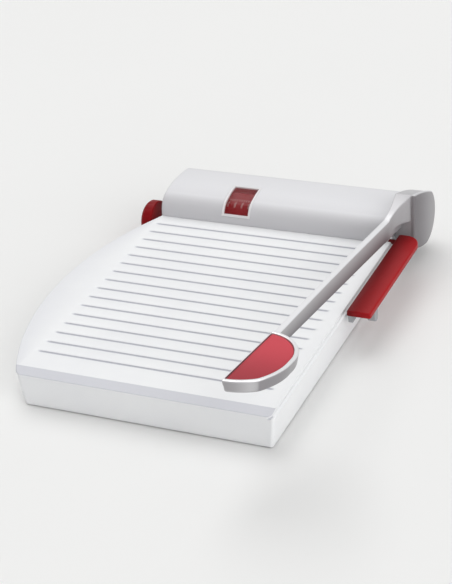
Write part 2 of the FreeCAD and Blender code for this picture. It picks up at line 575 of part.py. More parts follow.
def make_knob_and_spindle():
    """Knob at the left end, turned solid with a blind socket, and the spindle through the bay."""
    body = new_body("thickness_knob")
    bind(body, "Placement.Base.y", SPINDLE_Y)
    bind(body, "Placement.Base.z", SPINDLE_Z)
    outer_face = f"({KNOB_INNER} - knob_thickness)"
    socket_end = f"({KNOB_INNER} - knob_socket)"
    radius, socket = "(knob_diameter / 2)", "(spindle_diameter / 2)"
    profile = [(KNOB_INNER, socket)]
    for along, out, bulge in KNOB_SHARES:
        x, around = f"({KNOB_INNER} - knob_thickness * {along})", f"({radius} * {out})"
        profile.append((x, around) if bulge is None else (x, around, str(bulge)))
    revolve(body, [*profile, (outer_face, "0"), (socket_end, "0"), (socket_end, socket)])
    body = new_body("spindle")
    bind(body, "Placement.Base.y", SPINDLE_Y)
    bind(body, "Placement.Base.z", SPINDLE_Z)
    collar = f"({LEFT} + {SIDE_INSET} + bush_flange + side_gap)"
    ridge = "(spindle_diameter / 2 + collar_rise)"
    revolve(body, [(socket_end, "0"), (socket_end, socket), (collar, socket), (collar, ridge),
                   (f"({collar} + collar_width)", ridge), (f"({collar} + collar_width)", socket),
                   (BEARING_RIGHT, socket), (BEARING_RIGHT, "0")])


def make_bearings():
    """Bush in the base's left wall with its flange inside, and a pillow block near the right end."""
    body = new_body("spindle_bearing_left")
    bore = "spindle_diameter + 2 * run_gap"
    x_rod(body, f"({LEFT} + {SIDE_INSET})", "bush_flange", SPINDLE_Y, SPINDLE_Z,
          "spindle_diameter + 2 * (bush_wall + bush_flange_rise)", bore)
    x_rod(body, LEFT, SIDE_INSET, SPINDLE_Y, SPINDLE_Z, "spindle_diameter + 2 * bush_wall", bore)
    body = new_body("spindle_bearing_right")
    half = "(spindle_diameter / 2 + bush_wall)"
    block = box_outline(f"({SPINDLE_Y} - {half})", f"({SPINDLE_Y} + {half})", "plate_thickness",
                        f"({LUG_TOP} - fit_gap)")
    pad(body, drawn(body, "YZ_Plane", f"({BEARING_RIGHT} - bearing_length)", [block],
                    [(SPINDLE_Y, SPINDLE_Z, bore)]), "bearing_length")


def make_guide_rod():
    body = new_body("guide_rod")
    x_rod(body, ROD_LEFT, ROD_LENGTH, ROD_Y, SPINDLE_Z, "rod_diameter")


def make_carriage():
    """Nut block on the spindle and the rod: two lugs joined by a bridge behind the spindle."""
    body = new_body("carriage")
    front = f"({SPINDLE_Y} - spindle_diameter / 2 - carriage_wall / 2)"
    rear = f"({ROD_Y} + rod_diameter / 2 + carriage_wall)"
    low = f"({SPINDLE_Z} - spindle_diameter / 2 - carriage_wall)"
    lug = box_outline(front, rear, low, LUG_TOP)
    right_lug = f"({CARRIAGE_RIGHT} - lug_length)"
    pad(body, drawn(body, "YZ_Plane", right_lug, [lug]), "lug_length")
    bridge = box_outline(f"({ROD_Y} - rod_diameter / 2)", rear, f"({LUG_TOP} - bridge_thickness)", LUG_TOP)
    pad(body, drawn(body, "YZ_Plane", CARRIAGE_LEFT, [bridge]), CARRIAGE_LENGTH)
    pad(body, drawn(body, "YZ_Plane", CARRIAGE_LEFT, [lug]), "lug_length")
    bores = drawn(body, "YZ_Plane", f"({CARRIAGE_LEFT} - overrun)",
                  circles=[(SPINDLE_Y, SPINDLE_Z, "spindle_diameter + 2 * run_gap"),
                           (ROD_Y, SPINDLE_Z, "rod_diameter + 2 * run_gap")])
    pocket(body, bores, f"{CARRIAGE_LENGTH} + 2 * overrun", reverse=True)
    holes = drawn(body, "XY_Plane", LUG_TOP, circles=[(x, SCREW_Y, "screw_diameter + 2 * fit_gap")
                                                      for x in CARRIAGE_SCREWS])
    pocket(body, holes, "screw_length / 2")


SCREW_SHARES = (0.25, 0.75)
CARRIAGE_SCREWS = [f"({CARRIAGE_RIGHT} - lug_length * {share})" for share in SCREW_SHARES]


def make_carriage_screws():
    top = f"({TONGUE_TOP} + screw_head_height)"
    length = "(screw_head_height + tongue_thickness + screw_length / 2 - fit_gap)"
    group("carriage_screws", [make_screw(f"carriage_screw_{number}", x, SCREW_Y, top, length, upwards=False)
                              for number, x in enumerate(CARRIAGE_SCREWS)])


# The strip's lower edge and its shoulder, as shares of the room's depth and height under the hood
STRIP_LOW_SHARE, SHOULDER_SHARES = 0.3, (0.14, 0.8)


def make_scale_strip():
    """Bent strip behind the lens that carries the marks; it stands on the carriage's bridge."""
    body = new_body("scale_strip")
    inset = "(hood_wall + strip_gap)"
    depth, rise = f"(hood_depth - 2 * {inset})", f"(hood_height - {inset})"
    front, rear = f"({HOOD_FRONT} + {inset})", f"({ROD_Y} + rod_diameter / 2)"
    foot, top = LUG_TOP, f"(board_height + {rise})"
    shoulder_y = f"({front} + {depth} * {SHOULDER_SHARES[0]})"
    shoulder_z = f"(board_height + {rise} * {SHOULDER_SHARES[1]})"
    low, thick = f"(board_height + {rise} * {STRIP_LOW_SHARE})", "strip_thickness"
    section = [(front, low), (f"({front} + {thick})", low),
               (f"({shoulder_y} + {thick} / 2)", f"({shoulder_z} - {thick})"),
               (f"({rear} - {thick})", f"({top} - {thick})"), (f"({rear} - {thick})", foot), (rear, foot),
               (rear, top), (shoulder_y, shoulder_z)]
    pad(body, drawn(body, "YZ_Plane", STRIP_LEFT, [section]), f"window_width + stop_travel + 2 * {thick}")


# Twice the rise of a quarter turn over its chord
QUARTER_BULGE = "(sqrt(2) - 1)"


def make_slice_stop():
    """Red stop plate beside the board, with the tongue that reaches the carriage under the hood."""
    body = new_body("slice_stop")
    right = f"({STOP_LEFT} + stop_width)"
    bottom, top = "(board_height + stop_rise - stop_thickness)", "(board_height + stop_rise)"
    plate = [(STOP_LEFT, STOP_FRONT), (right, STOP_FRONT),
             (right, f"({STOP_REAR} - stop_corner)", QUARTER_BULGE),
             (f"({right} - stop_corner)", STOP_REAR), (STOP_LEFT, STOP_REAR)]
    pad(body, drawn(body, "XY_Plane", bottom, [plate]), "stop_thickness")
    ease(body, "stop_rounding", lambda edge: edge.BoundBox.ZMin > value(top) - 1e-3 or upright(edge))
    # Root of the tongue under the plate, the tongue itself and its foot on the carriage
    tongue_rear = f"({TONGUE_FRONT} + tongue_width)"
    middle = f"({STOP_LEFT} + stop_width / 2)"
    root = box_outline(STOP_LEFT, middle, TONGUE_FRONT, f"min({tongue_rear}; {STOP_REAR})")
    root_depth = f"{bottom} - {LUG_TOP} + stop_thickness / 2"
    pad(body, drawn(body, "XY_Plane", LUG_TOP, [root]), root_depth)
    left = f"({CARRIAGE_RIGHT} - lug_length)"
    foot_rear = f"({SCREW_Y} + screw_head_diameter / 2 + fit_gap)"
    reach = [(middle, TONGUE_FRONT), (middle, tongue_rear), (CARRIAGE_RIGHT, tongue_rear),
             (CARRIAGE_RIGHT, foot_rear), (left, foot_rear), (left, TONGUE_FRONT)]
    pad(body, drawn(body, "XY_Plane", LUG_TOP, [reach]), "tongue_thickness")
    # Lug under the front end that holds the guide pin
    half = "(guide_pin_diameter / 2 + guide_boss_wall / 2)"
    lug = box_outline(f"({GUIDE_Y} - {half})", f"({GUIDE_Y} + {half})", f"({GUIDE_Z} - {half})",
                      f"({bottom} + stop_thickness / 2)")
    pad(body, drawn(body, "YZ_Plane", f"({right} - stop_rounding - lug_thickness)", [lug]), "lug_thickness")
    bore = drawn(body, "YZ_Plane", f"({right} - stop_rounding - lug_thickness - overrun)",
                 circles=[(GUIDE_Y, GUIDE_Z, "guide_pin_diameter")])
    pocket(body, bore, "lug_thickness", reverse=True)
    holes = drawn(body, "XY_Plane", TONGUE_TOP, circles=[(x, SCREW_Y, "screw_diameter + 2 * fit_gap")
                                                         for x in CARRIAGE_SCREWS])
    pocket(body, holes, "tongue_thickness + overrun")
    body = new_body("stop_guide_pin")
    inner_end = f"({RIGHT} - base_wall - guide_reach)"
    x_rod(body, inner_end, f"{right} - stop_rounding - overrun - {inner_end}", GUIDE_Y, GUIDE_Z,
          "guide_pin_diameter")


def make_pivot():
    """Bracket inside the bay, the pin that the arm turns on and its washers."""
    body = new_body("pivot_bracket")
    rear = f"({BACK} - base_wall)"
    block = box_outline(f"({rear} - bracket_depth)", rear, "plate_thickness", "(board_height + bracket_rise)")
    pad(body, drawn(body, "YZ_Plane", BRACKET_LEFT, [block]), "bracket_width")
    top = value("board_height + bracket_rise")
    ease(body, "bracket_chamfer", lambda edge: edge.BoundBox.ZMin > top - 1e-3, "Chamfer")
    hole = drawn(body, "YZ_Plane", f"({BRACKET_LEFT} - overrun)",
                 circles=[(PIVOT_Y, "board_height", "pin_diameter + 2 * run_gap")])
    pocket(body, hole, "bracket_width + 2 * overrun", reverse=True)
    body = new_body("pivot_pin")
    bind(body, "Placement.Base.y", PIVOT_Y)
    bind(body, "Placement.Base.z", "board_height")
    neck = f"({BRACKET_LEFT} - rear_washer_thickness)"
    head = f"({neck} - pin_head_thickness)"
    radius, head_radius = "(pin_diameter / 2)", "(pin_diameter / 2 + pin_head_rise)"
    tip = f"({WIRE_X} - bar_thickness / 2 + hub_thickness - side_gap)"
    revolve(body, [(head, "0"), (head, head_radius), (neck, head_radius), (neck, radius), (tip, radius),
                   (tip, "0")])
    bore = "pin_diameter + 2 * run_gap"
    first = doc.addObject("Part::Cylinder", "rear_washer_disc")
    second = doc.addObject("Part::Cylinder", "hub_washer_disc")
    gap = f"({WIRE_X} - bar_thickness / 2 - {END_RIGHT})"
    washers = []
    for disc, start, thickness in ((first, neck, "rear_washer_thickness"),
                                   (second, END_RIGHT, f"({gap} - side_gap)")):
        hole = doc.addObject("Part::Cylinder", f"{disc.Name}_bore")
        for solid, diameter in ((disc, "pin_diameter + 2 * washer_rise"), (hole, bore)):
            along_x = FreeCAD.Rotation(FreeCAD.Vector(0, 1, 0), 90)
            solid.Placement = FreeCAD.Placement(FreeCAD.Vector(), along_x)
            bind(solid, "Radius", f"({diameter}) / 2")
            bind(solid, "Height", thickness)
            for axis, text in zip("xyz", (start, PIVOT_Y, "board_height")):
                bind(solid, f"Placement.Base.{axis}", text)
        washer = doc.addObject("Part::Cut", f"{disc.Name}_washer")
        washer.Base, washer.Tool = disc, hole
        washers.append(washer)
    group("pivot_washers", washers)


# Lean of the hub's front as a share of its radius, and the two ends of its round rear as shares of it
LEAN_SHARE, LOWER_SHARES, UPPER_SHARES = 0.03, (0.15, 0.989), (0.45, 0.893)


def hub_outline(inset):
    """Side outline of the hub's cap: straight front, sloping top and a round rear about the pivot."""
    front, radius, lean = f"(hub_front - {inset})", f"(hub_radius - {inset})", f"hub_radius * {LEAN_SHARE}"
    return [(f"(-{front} - {lean})", f"(hub_top - {inset})"),
            (f"(-{front} + {lean})", f"(-hub_bottom + {inset})", "0.1"),
            (f"(-{radius} * {LOWER_SHARES[0]})", f"(-{radius} * {LOWER_SHARES[1]})", "0.68"),
            (f"({radius} * {UPPER_SHARES[0]})", f"({radius} * {UPPER_SHARES[1]})", "0.05")]


def make_arm_bar():
    """Bar and hub in one casting: the bar is deepest at the rear and flares out into the hub's boss."""
    body = arm_body("arm_bar")
    low, neck = "bar_lift", "(hub_front + flare_length)"
    bar = [("(-bar_reach)", low), ("(-hub_front - throat)", low), ("(-hub_front / 2)", "0"),
           ("(-hub_front / 2)", "(bar_lift + bar_rear_height)"),
           (f"(-{neck})", "(bar_lift + bar_rear_height)", "bar_crown_bulge"),
           ("(-bar_reach)", "(bar_lift + bar_front_height)")]
    pad(body, drawn(body, "YZ_Plane", HUB_FACE, [bar]), "bar_thickness")
    # Boss of the hub with the material of the flare, which a curved cut in plan then shapes
    inset = "cap_overhang"
    hub = hub_outline(inset)
    boss = [(f"(-{neck})", "flare_low"), ("(-hub_front - throat)", "flare_low"), *hub[1:],
            (hub[0][0], hub[0][1], "-boss_crown_bulge"), (f"(-{neck})", "(bar_lift + bar_rear_height)")]
    pad(body, drawn(body, "YZ_Plane", HUB_FACE, [boss]), "hub_thickness")
    face = f"({HUB_FACE} + hub_thickness)"
    side, hub_edge = "(bar_thickness / 2)", "(-hub_front + cap_overhang)"
    flare = [(side, f"(-{neck} - overrun)"), (f"({face} + overrun)", f"(-{neck} - overrun)"),
             (f"({face} + overrun)", hub_edge), (f"({face} - flare_step)", hub_edge, "flare_bulge"),
             (side, f"(-{neck})")]
    flare_cut = drawn(body, "XY_Plane", "(hub_top + overrun)", [flare])
    pocket(body, flare_cut, "hub_top + hub_radius + 2 * overrun")
    # Bore for the pin, seat of the wire's tension screw and the tang that holds the handle
    bore = drawn(body, "YZ_Plane", f"({HUB_FACE} - overrun)",
                 circles=[("0", "0", "pin_diameter + 2 * run_gap")])
    pocket(body, bore, "hub_thickness + 2 * overrun", reverse=True)
    seat = drawn(body, "XZ_Plane", "(hub_front + throat + overrun)",
                 circles=[("0", "(-wire_drop)", "tension_screw_diameter + 2 * run_gap")])
    pocket(body, seat, "throat + overrun + tension_screw_inset / 2 + tension_screw_length")
    tang_low = "(handle_top - inset_depth - tang_drop)"
    tang = box_outline("(-tang_width / 2)", "(tang_width / 2)", tang_low, f"({tang_low} + tang_height)")
    pad(body, drawn(body, "XZ_Plane", "(bar_reach - overrun)", [tang]), "tang_length + overrun")


def y_rod(body, start, length, x, z, diameter):
    """Round bar from -start towards the front, along the arm."""
    return pad(body, drawn(body, "XZ_Plane", start, circles=[(x, z, diameter)]), length)


WIRE_REAR = "(hub_front - tension_screw_inset / 2)"
ANCHOR_REAR = "(bar_reach - anchor_back - anchor_length)"


def make_wire():
    """Cutting wire just under the bar, its front anchor and its tension screw in the hub."""
    body = arm_body("cutting_wire")
    y_rod(body, WIRE_REAR, f"{ANCHOR_REAR} - {WIRE_REAR}", "0", "(-wire_drop)", "wire_diameter")
    body = arm_body("wire_front_anchor")
    block = box_outline("(-anchor_width / 2)", "(anchor_width / 2)",
                        "(-wire_drop - wire_diameter / 2 - anchor_drop)", "bar_lift")
    pad(body, drawn(body, "XZ_Plane", ANCHOR_REAR, [block]), "anchor_length")
    body = arm_body("wire_tension_screw")
    y_rod(body, f"({WIRE_REAR} - tension_screw_length)", "tension_screw_length", "0", "(-wire_drop)",
          "tension_screw_diameter")


def make_hub_cap():
    """D-shaped cover over the end of the pin."""
    body = arm_body("hub_cap")
    face = f"({HUB_FACE} + hub_thickness)"
    pad(body, drawn(body, "YZ_Plane", face, [hub_outline("0")]), "cap_thickness")
    outer = value(f"{face} + cap_thickness")
    ease(body, "cap_rounding", lambda edge: edge.BoundBox.XMin > outer - 1e-3)


# Corners of the handle's round side as shares of its width and length, with each arc's bulge
HANDLE_SHARES = [(0.0, 0.0, 0.17), (0.642, 0.13, 0.2), (1.0, 0.509, 0.17), (0.706, 0.902, 0.17),
                 (0.0, 1.0, None)]


def handle_outline(inset):
    """Plan of the handle, moved in by an inset: straight at the left and round at the right."""
    corners = []
    for across, along, bulge in HANDLE_SHARES:
        x = f"({HUB_FACE} + (handle_width - {inset}) * {across})"
        y = f"(-bar_reach - {inset} - (handle_length - 2 * {inset}) * {along})"
        corners.append((x, y) if bulge is None else (x, y, f"-{bulge}"))
    return corners


def make_handle():
    """Silver rim with the red pad let into its top, and the two screws into the bar's tang."""
    body = arm_body("handle_frame")
    plan = drawn(body, "XY_Plane", "handle_top", [handle_outline("0")])
    block = pad(body, plan, "handle_height", reverse=True)
    bind(block, "TaperAngle", "-handle_taper_angle")
    top = value("handle_top")
    ease(body, "handle_rounding", lambda edge: in_arm_plane(edge, top))
    recess = drawn(body, "XY_Plane", "handle_top", [handle_outline("rim_width")])
    pocket(body, recess, "inset_depth")
    tang_low = "(handle_top - inset_depth - tang_drop)"
    gap = "fit_gap"
    socket = box_outline(f"(-tang_width / 2 - {gap})", f"(tang_width / 2 + {gap})", f"({tang_low} - {gap})",
                         f"({tang_low} + tang_height + {gap})")
    pocket(body, drawn(body, "XZ_Plane", "(bar_reach - overrun)", [socket]), f"tang_length + overrun + {gap}",
           reverse=True)
    holes = [("0", y, "screw_diameter + 2 * fit_gap") for y in HANDLE_SCREWS]
    low = "(handle_top - handle_height)"
    pocket(body, drawn(body, "XY_Plane", f"({low} - overrun)", circles=holes),
           f"overrun + {tang_low} - {low}", reverse=True)
    body = arm_body("handle_inset")
    floor = "(handle_top - inset_depth)"
    plan = drawn(body, "XY_Plane", floor, [handle_outline("(rim_width + fit_gap)")])
    pad(body, plan, "inset_depth - inset_below")
    crest = value("handle_top - inset_below")
    ease(body, "inset_rounding", lambda edge: in_arm_plane(edge, crest))


def in_arm_plane(edge, height):
    """Whether an edge lies level at a height of the arm's own frame."""
    box = edge.BoundBox
    return box.ZLength < 1e-4 and abs(box.ZMin - height) < 1e-3


SPACING_SHARES = (-0.5, 0.5)
HANDLE_SCREWS = [f"(-bar_reach - tang_length / 2 + handle_screw_spacing * {share})"
                 for share in SPACING_SHARES]


def make_handle_screws():
    """Two flat-headed screws that go up into the tang, under the handle."""
    screws = []
    tang_low = "(handle_top - inset_depth - tang_drop)"
    for number, y in enumerate(HANDLE_SCREWS):
        low = "(handle_top - handle_height)"
        shank = cylinder(f"handle_screw_{number}", "0", y, low, "screw_diameter", f"{tang_low} - {low}")
        screws.append(shank)
    group("handle_screws", screws)
    node = nodes[-1]
    node.Placement = FreeCAD.Placement(FreeCAD.Vector(), FreeCAD.Rotation(FreeCAD.Vector(-1, 0, 0), 1))
    bind(node, "Placement.Rotation.Angle", "rest_angle")
    bind(node, "Placement.Base.x", WIRE_X)
    bind(node, "Placement.Base.y", PIVOT_Y)
    bind(node, "Placement.Base.z", "board_height")


make_base_board()
make_bottom_plate()
make_feet()
make_bottom_screws()
make_rear_housing()
make_window()
make_knob_and_spindle()
make_bearings()
make_guide_rod()
make_carriage()
make_carriage_screws()
make_scale_strip()
make_slice_stop()
make_pivot()
make_arm_bar()
make_wire()
make_hub_cap()
make_handle()
make_handle_screws()
doc.recompute()

# Nothing is written unless every feature is sound and every cut takes something away
for thing in doc.Objects:
    if {"Invalid", "Error"} & set(thing.State):
        raise SystemExit(f"{thing.Name} failed: {thing.State}")
    if thing.TypeId == "PartDesign::Pocket" and thing.Shape.Volume >= thing.BaseFeature.Shape.Volume - 1e-6:
        raise SystemExit(f"{thing.Name} cuts nothing")
for node in nodes:
    if node.Shape.isNull() or not node.Shape.isValid() or not node.Shape.Solids:
        raise SystemExit(f"{node.Label} has no sound solid")
os.makedirs("parts", exist_ok=True)
for node in nodes:
    node.Shape.exportStep(f"parts/{node.Label}.step")
    print(node.Label, len(node.Shape.Solids), round(node.Shape.Volume))
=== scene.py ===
# %% [markdown]
# # A table-top wire slicer
# A ribbed board carries a low hood at its rear. A knob at the left sets how thick the slices are, a red
# stop beside the board moves with it, and an arm at the right pulls a wire down past the board's edge.
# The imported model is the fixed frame: its nodes keep their place, and each new piece is worked out
# from their boxes and from the same sizes, so nothing has to be fitted afterwards.

# %% Load the frame
import math

import bmesh
import bpy
import numpy as np
from mathutils import Matrix, Vector


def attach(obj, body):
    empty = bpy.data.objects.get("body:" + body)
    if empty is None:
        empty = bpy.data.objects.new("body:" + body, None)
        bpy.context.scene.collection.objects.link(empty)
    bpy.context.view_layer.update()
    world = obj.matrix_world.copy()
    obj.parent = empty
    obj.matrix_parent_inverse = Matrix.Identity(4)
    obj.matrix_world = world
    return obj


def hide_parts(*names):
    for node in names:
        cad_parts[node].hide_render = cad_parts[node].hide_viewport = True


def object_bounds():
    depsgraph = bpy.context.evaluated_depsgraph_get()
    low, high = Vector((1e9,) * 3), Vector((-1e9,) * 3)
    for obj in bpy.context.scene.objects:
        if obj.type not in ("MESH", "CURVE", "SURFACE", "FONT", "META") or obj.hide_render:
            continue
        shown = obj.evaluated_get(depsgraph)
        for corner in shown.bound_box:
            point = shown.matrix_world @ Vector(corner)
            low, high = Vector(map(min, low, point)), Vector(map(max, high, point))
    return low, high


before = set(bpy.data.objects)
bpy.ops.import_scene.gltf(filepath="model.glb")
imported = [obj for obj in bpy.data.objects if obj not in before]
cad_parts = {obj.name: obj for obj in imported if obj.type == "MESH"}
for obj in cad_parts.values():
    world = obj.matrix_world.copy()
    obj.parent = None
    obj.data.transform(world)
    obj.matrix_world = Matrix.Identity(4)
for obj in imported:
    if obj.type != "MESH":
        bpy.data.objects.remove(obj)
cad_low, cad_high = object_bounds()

MM = 0.001
print("CAD box in mm:", [round(x / MM, 1) for x in (*cad_low, *cad_high)])

# %% [markdown]
# ## Camera
# The photograph looks down on the slicer from its front right corner. Its focal length and its place
# were solved from the base's edges, and the picture is tipped by a few degrees, so the camera's own
# axes are worked out from the view direction and then rolled.

# %% Camera
CAMERA_PLACE = Vector((0.5222, -0.9833, 0.6699))
VIEW = Vector((-0.39694, 0.76585, -0.50588)).normalized()
ROLL = math.radians(6.61)
FOCAL_MM = 104.87

level_right = VIEW.cross(Vector((0, 0, 1))).normalized()
level_up = level_right.cross(VIEW)
right = math.cos(ROLL) * level_right - math.sin(ROLL) * level_up
up = math.cos(ROLL) * level_up + math.sin(ROLL) * level_right
camera = bpy.data.objects.new("camera", bpy.data.cameras.new("camera"))
camera.data.lens = FOCAL_MM
camera.matrix_world = Matrix((right, up, -VIEW)).transposed().to_4x4()
camera.matrix_world.translation = CAMERA_PLACE
bpy.context.scene.collection.objects.link(camera)
bpy.context.scene.camera = camera
print("camera looks along", [round(x, 3) for x in VIEW])

# %% [markdown]
# ## Shader maths in Python
# A material is easier to read as an expression than as a list of nodes and links. `Signal` wraps one
# output socket and gives it Python's operators, so `1 - mask` adds a Math node by itself.

# %% Signals


class Signal:
    """One number that varies over a surface: an output socket with Python's operators."""

    def __init__(self, finish, socket):
        self.finish, self.socket = finish, socket

    def maths(self, operation, *values):
        """Math node with these values at its inputs."""
        return self.finish.node("ShaderNodeMath", {"operation": operation}, dict(enumerate(values)))

    def __add__(self, other):
        return self.maths("ADD", self, other)

    def __sub__(self, other):
        return self.maths("SUBTRACT", self, other)

    def __rsub__(self, other):
        return self.maths("SUBTRACT", other, self)

    def __mul__(self, other):
        return self.maths("MULTIPLY", self, other)

    def __gt__(self, other):
        return self.maths("GREATER_THAN", self, other)

    def __lt__(self, other):
        return self.maths("LESS_THAN", self, other)

    __radd__, __rmul__ = __add__, __mul__

    def ramp(self, low, high):
        """0 up to low, 1 from high on, and a smooth climb between them."""
        inputs = {"Value": self, "From Min": low, "From Max": high}
        return self.finish.node("ShaderNodeMapRange", {"interpolation_type": "SMOOTHSTEP"}, inputs)


print("operators of a signal: + - * < >, and 1 - signal")

# %% [markdown]
# A `Finish` is one material. Every node but the maths comes from its `node`, which takes the node's type,
# its settings and its inputs. Patterns read Object coordinates, so they stay on a piece as it moves, and
# one method reads the light and shade that are painted into the mesh itself.

# %% Finishes


class Finish:
    """A material with its Principled shader, and one method that adds any node."""

    def __init__(self, name, tree=None, **constants):
        if tree is None:
            self.material = bpy.data.materials.new(name)
            self.material.use_nodes = True
            tree = self.material.node_tree
            self.shader = tree.nodes["Principled BSDF"]
            for socket, value in constants.items():
                self.shader.inputs[socket.replace("_", " ")].default_value = value
        self.tree = tree

    def node(self, kind, settings=None, inputs=None, output=0):
        """New node with its settings and inputs; gives the signal of one output."""
        made = self.tree.nodes.new(kind)
        for name, value in (settings or {}).items():
            setattr(made, name, value)
        for name, value in (inputs or {}).items():
            self.feed(made.inputs[name], value)
        return Signal(self, made.outputs[output])

    def feed(self, socket, value):
        """Link a signal to a socket, or set the socket to a constant."""
        if isinstance(value, Signal):
            self.tree.links.new(value.socket, socket)
        else:
            socket.default_value = value

    def place(self, stretch=(1, 1, 1)):
        """The point on the object, stretched before a pattern reads it."""
        point = self.node("ShaderNodeTexCoord", output="Object")
        return self.node("ShaderNodeMapping", None, {"Vector": point, "Scale": stretch})

    def along(self, axis):
        """How far the point lies along X, Y or Z of the object, in metres."""
        return self.node("ShaderNodeSeparateXYZ", None, {0: self.place()}, output=axis)

    def tone(self):
        """Light and shade painted at this spot, 0 to 1, as the piece's own attribute says."""
        return self.node("ShaderNodeAttribute", {"attribute_name": "tone"}, output="Fac")

    def noise(self, size, detail=2.0, stretch=(1, 1, 1)):
        """Cloudy pattern from 0 to 1 whose patches are about size metres across."""
        inputs = {"Vector": self.place(stretch), "Scale": 1 / size, "Detail": detail}
        return self.node("ShaderNodeTexNoise", None, inputs)

    def blend(self, share, first, second):
        """Colour that goes from the first to the second as share goes from 0 to 1."""
        return self.node("ShaderNodeMix", {"data_type": "RGBA"}, {0: share, 6: first, 7: second}, output=2)

    def bump(self, height, depth):
        """Dents of that depth in metres where height is low."""
        self.feed(self.shader.inputs["Normal"],
                  self.node("ShaderNodeBump", None, {"Height": height, "Distance": depth}))

    def paint(self, **signals):
        """Link signals to the shader's sockets by name, and give the material."""
        for socket, signal in signals.items():
            self.feed(self.shader.inputs[socket.replace("_", " ")], signal)
        return self.material


def tint(red, green, blue):
    """A colour as it looks on screen, 0 to 255, as the light values that a shader takes."""
    channels = []
    for channel in (red, green, blue):
        share = channel / 255
        channels.append(share / 12.92 if share <= 0.04045 else ((share + 0.055) / 1.055) ** 2.4)
    return (*channels, 1)


print("mid grey as light:", round(tint(128, 128, 128)[0], 3))

# %% [markdown]
# ## Floor
# The picture has a pale, even ground and hardly any shadow. The floor is a wide sheet whose shade drifts
# very slightly. It belongs to the picture, not to the object.

# %% Floor
FLOOR_REACH = 4.0
floor_mesh = bpy.data.meshes.new("floor")
corners = [(-FLOOR_REACH, -FLOOR_REACH), (FLOOR_REACH, -FLOOR_REACH), (FLOOR_REACH, FLOOR_REACH),
           (-FLOOR_REACH, FLOOR_REACH)]
floor_mesh.from_pydata([(x, y, cad_low.z) for x, y in corners], [], [(0, 1, 2, 3)])
floor = bpy.data.objects.new("floor", floor_mesh)
bpy.context.scene.collection.objects.link(floor)
paper = Finish("paper_ground", Roughness=0.9)
CLOUD_SIZE = 0.4
floor_mesh.materials.append(paper.paint(
    Base_Color=paper.blend(paper.noise(CLOUD_SIZE), tint(237, 237, 236), tint(240, 240, 239))))
print("floor at", round(cad_low.z / MM, 2), "mm")

# %% [markdown]
# ## Light
# A wide soft sun from behind the left shoulder of the slicer shapes the forms, a low one from the right
# opens the shadows, and the world does the rest. Metal shows what stands around it, so rays that bounce
# off a gloss see a studio with a bright ceiling and a darker right-hand side.

# %% Light


def sun(name, toward, strength, spread):
    """Sun that shines along a direction, with soft shadows from its spread in degrees."""
    lamp = bpy.data.lights.new(name, "SUN")
    lamp.energy, lamp.angle = strength, math.radians(spread)
    holder = bpy.data.objects.new(name, lamp)
    holder.rotation_mode = "QUATERNION"
    holder.rotation_quaternion = Vector(toward).to_track_quat("-Z", "Y")
    bpy.context.scene.collection.objects.link(holder)


sun("key", toward=(0.35, -0.45, -1), strength=1.25, spread=50)
sun("fill", toward=(-0.8, 0.35, -0.35), strength=1.3, spread=60)

world = bpy.data.worlds.new("studio")
bpy.context.scene.world = world
world.use_nodes = True
studio = Finish("studio", tree=world.node_tree)
direction = studio.node("ShaderNodeTexCoord", output="Generated")
sideways = studio.node("ShaderNodeSeparateXYZ", None, {0: direction}, output="X")
upwards = studio.node("ShaderNodeSeparateXYZ", None, {0: direction}, output="Z")
ceiling = upwards.ramp(0.25, 0.9)
dark_side = sideways.ramp(0.1, 0.8) * (1 - ceiling)
AMBIENT, BACKDROP, GLOSS_WALLS, GLOSS_CEILING, DARKENED = 0.5, 0.87, 0.62, 0.4, 0.7
seen_in_gloss = (GLOSS_WALLS + ceiling * GLOSS_CEILING) * (1 - dark_side * DARKENED)
is_gloss = studio.node("ShaderNodeLightPath", output="Is Glossy Ray")
is_camera = studio.node("ShaderNodeLightPath", output="Is Camera Ray")
level = AMBIENT + is_gloss * (seen_in_gloss - AMBIENT) + is_camera * (BACKDROP - AMBIENT)
studio.feed(world.node_tree.nodes["Background"].inputs["Strength"], level)
world.node_tree.nodes["Background"].inputs["Color"].default_value = (1, 1, 1, 1)
bpy.context.scene.view_settings.view_transform = "Standard"
print("ambient light:", AMBIENT)

# %% [markdown]
# ## Surfaces from grids
# Nearly every piece here is a grid of points: rows along one direction, columns along the other. The
# points come from whole-array sums in millimetres, and one function turns them into a mesh in metres.
# Points that fall together, as at a pole or a seam, are merged, so the surface is closed.

# %% Grids to meshes


def together(*columns):
    """Points from their coordinates, each an array or a number, spread to one shape."""
    return np.stack(np.broadcast_arrays(*columns), axis=-1)


def grid_faces(rows, columns, wrap_rows=False, wrap_columns=False, keep=None):
    """Quads between neighbouring rows and columns; keep is a mask of the quads to use."""
    row, column = np.meshgrid(np.arange(rows - (not wrap_rows)), np.arange(columns - (not wrap_columns)),
                              indexing="ij")
    next_row, next_column = (row + 1) % rows, (column + 1) % columns
    quads = np.stack([row * columns + column, row * columns + next_column,
                      next_row * columns + next_column, next_row * columns + column], axis=-1)
    return quads[keep] if keep is not None else quads.reshape(-1, 4)


MERGE_REACH = 2e-6


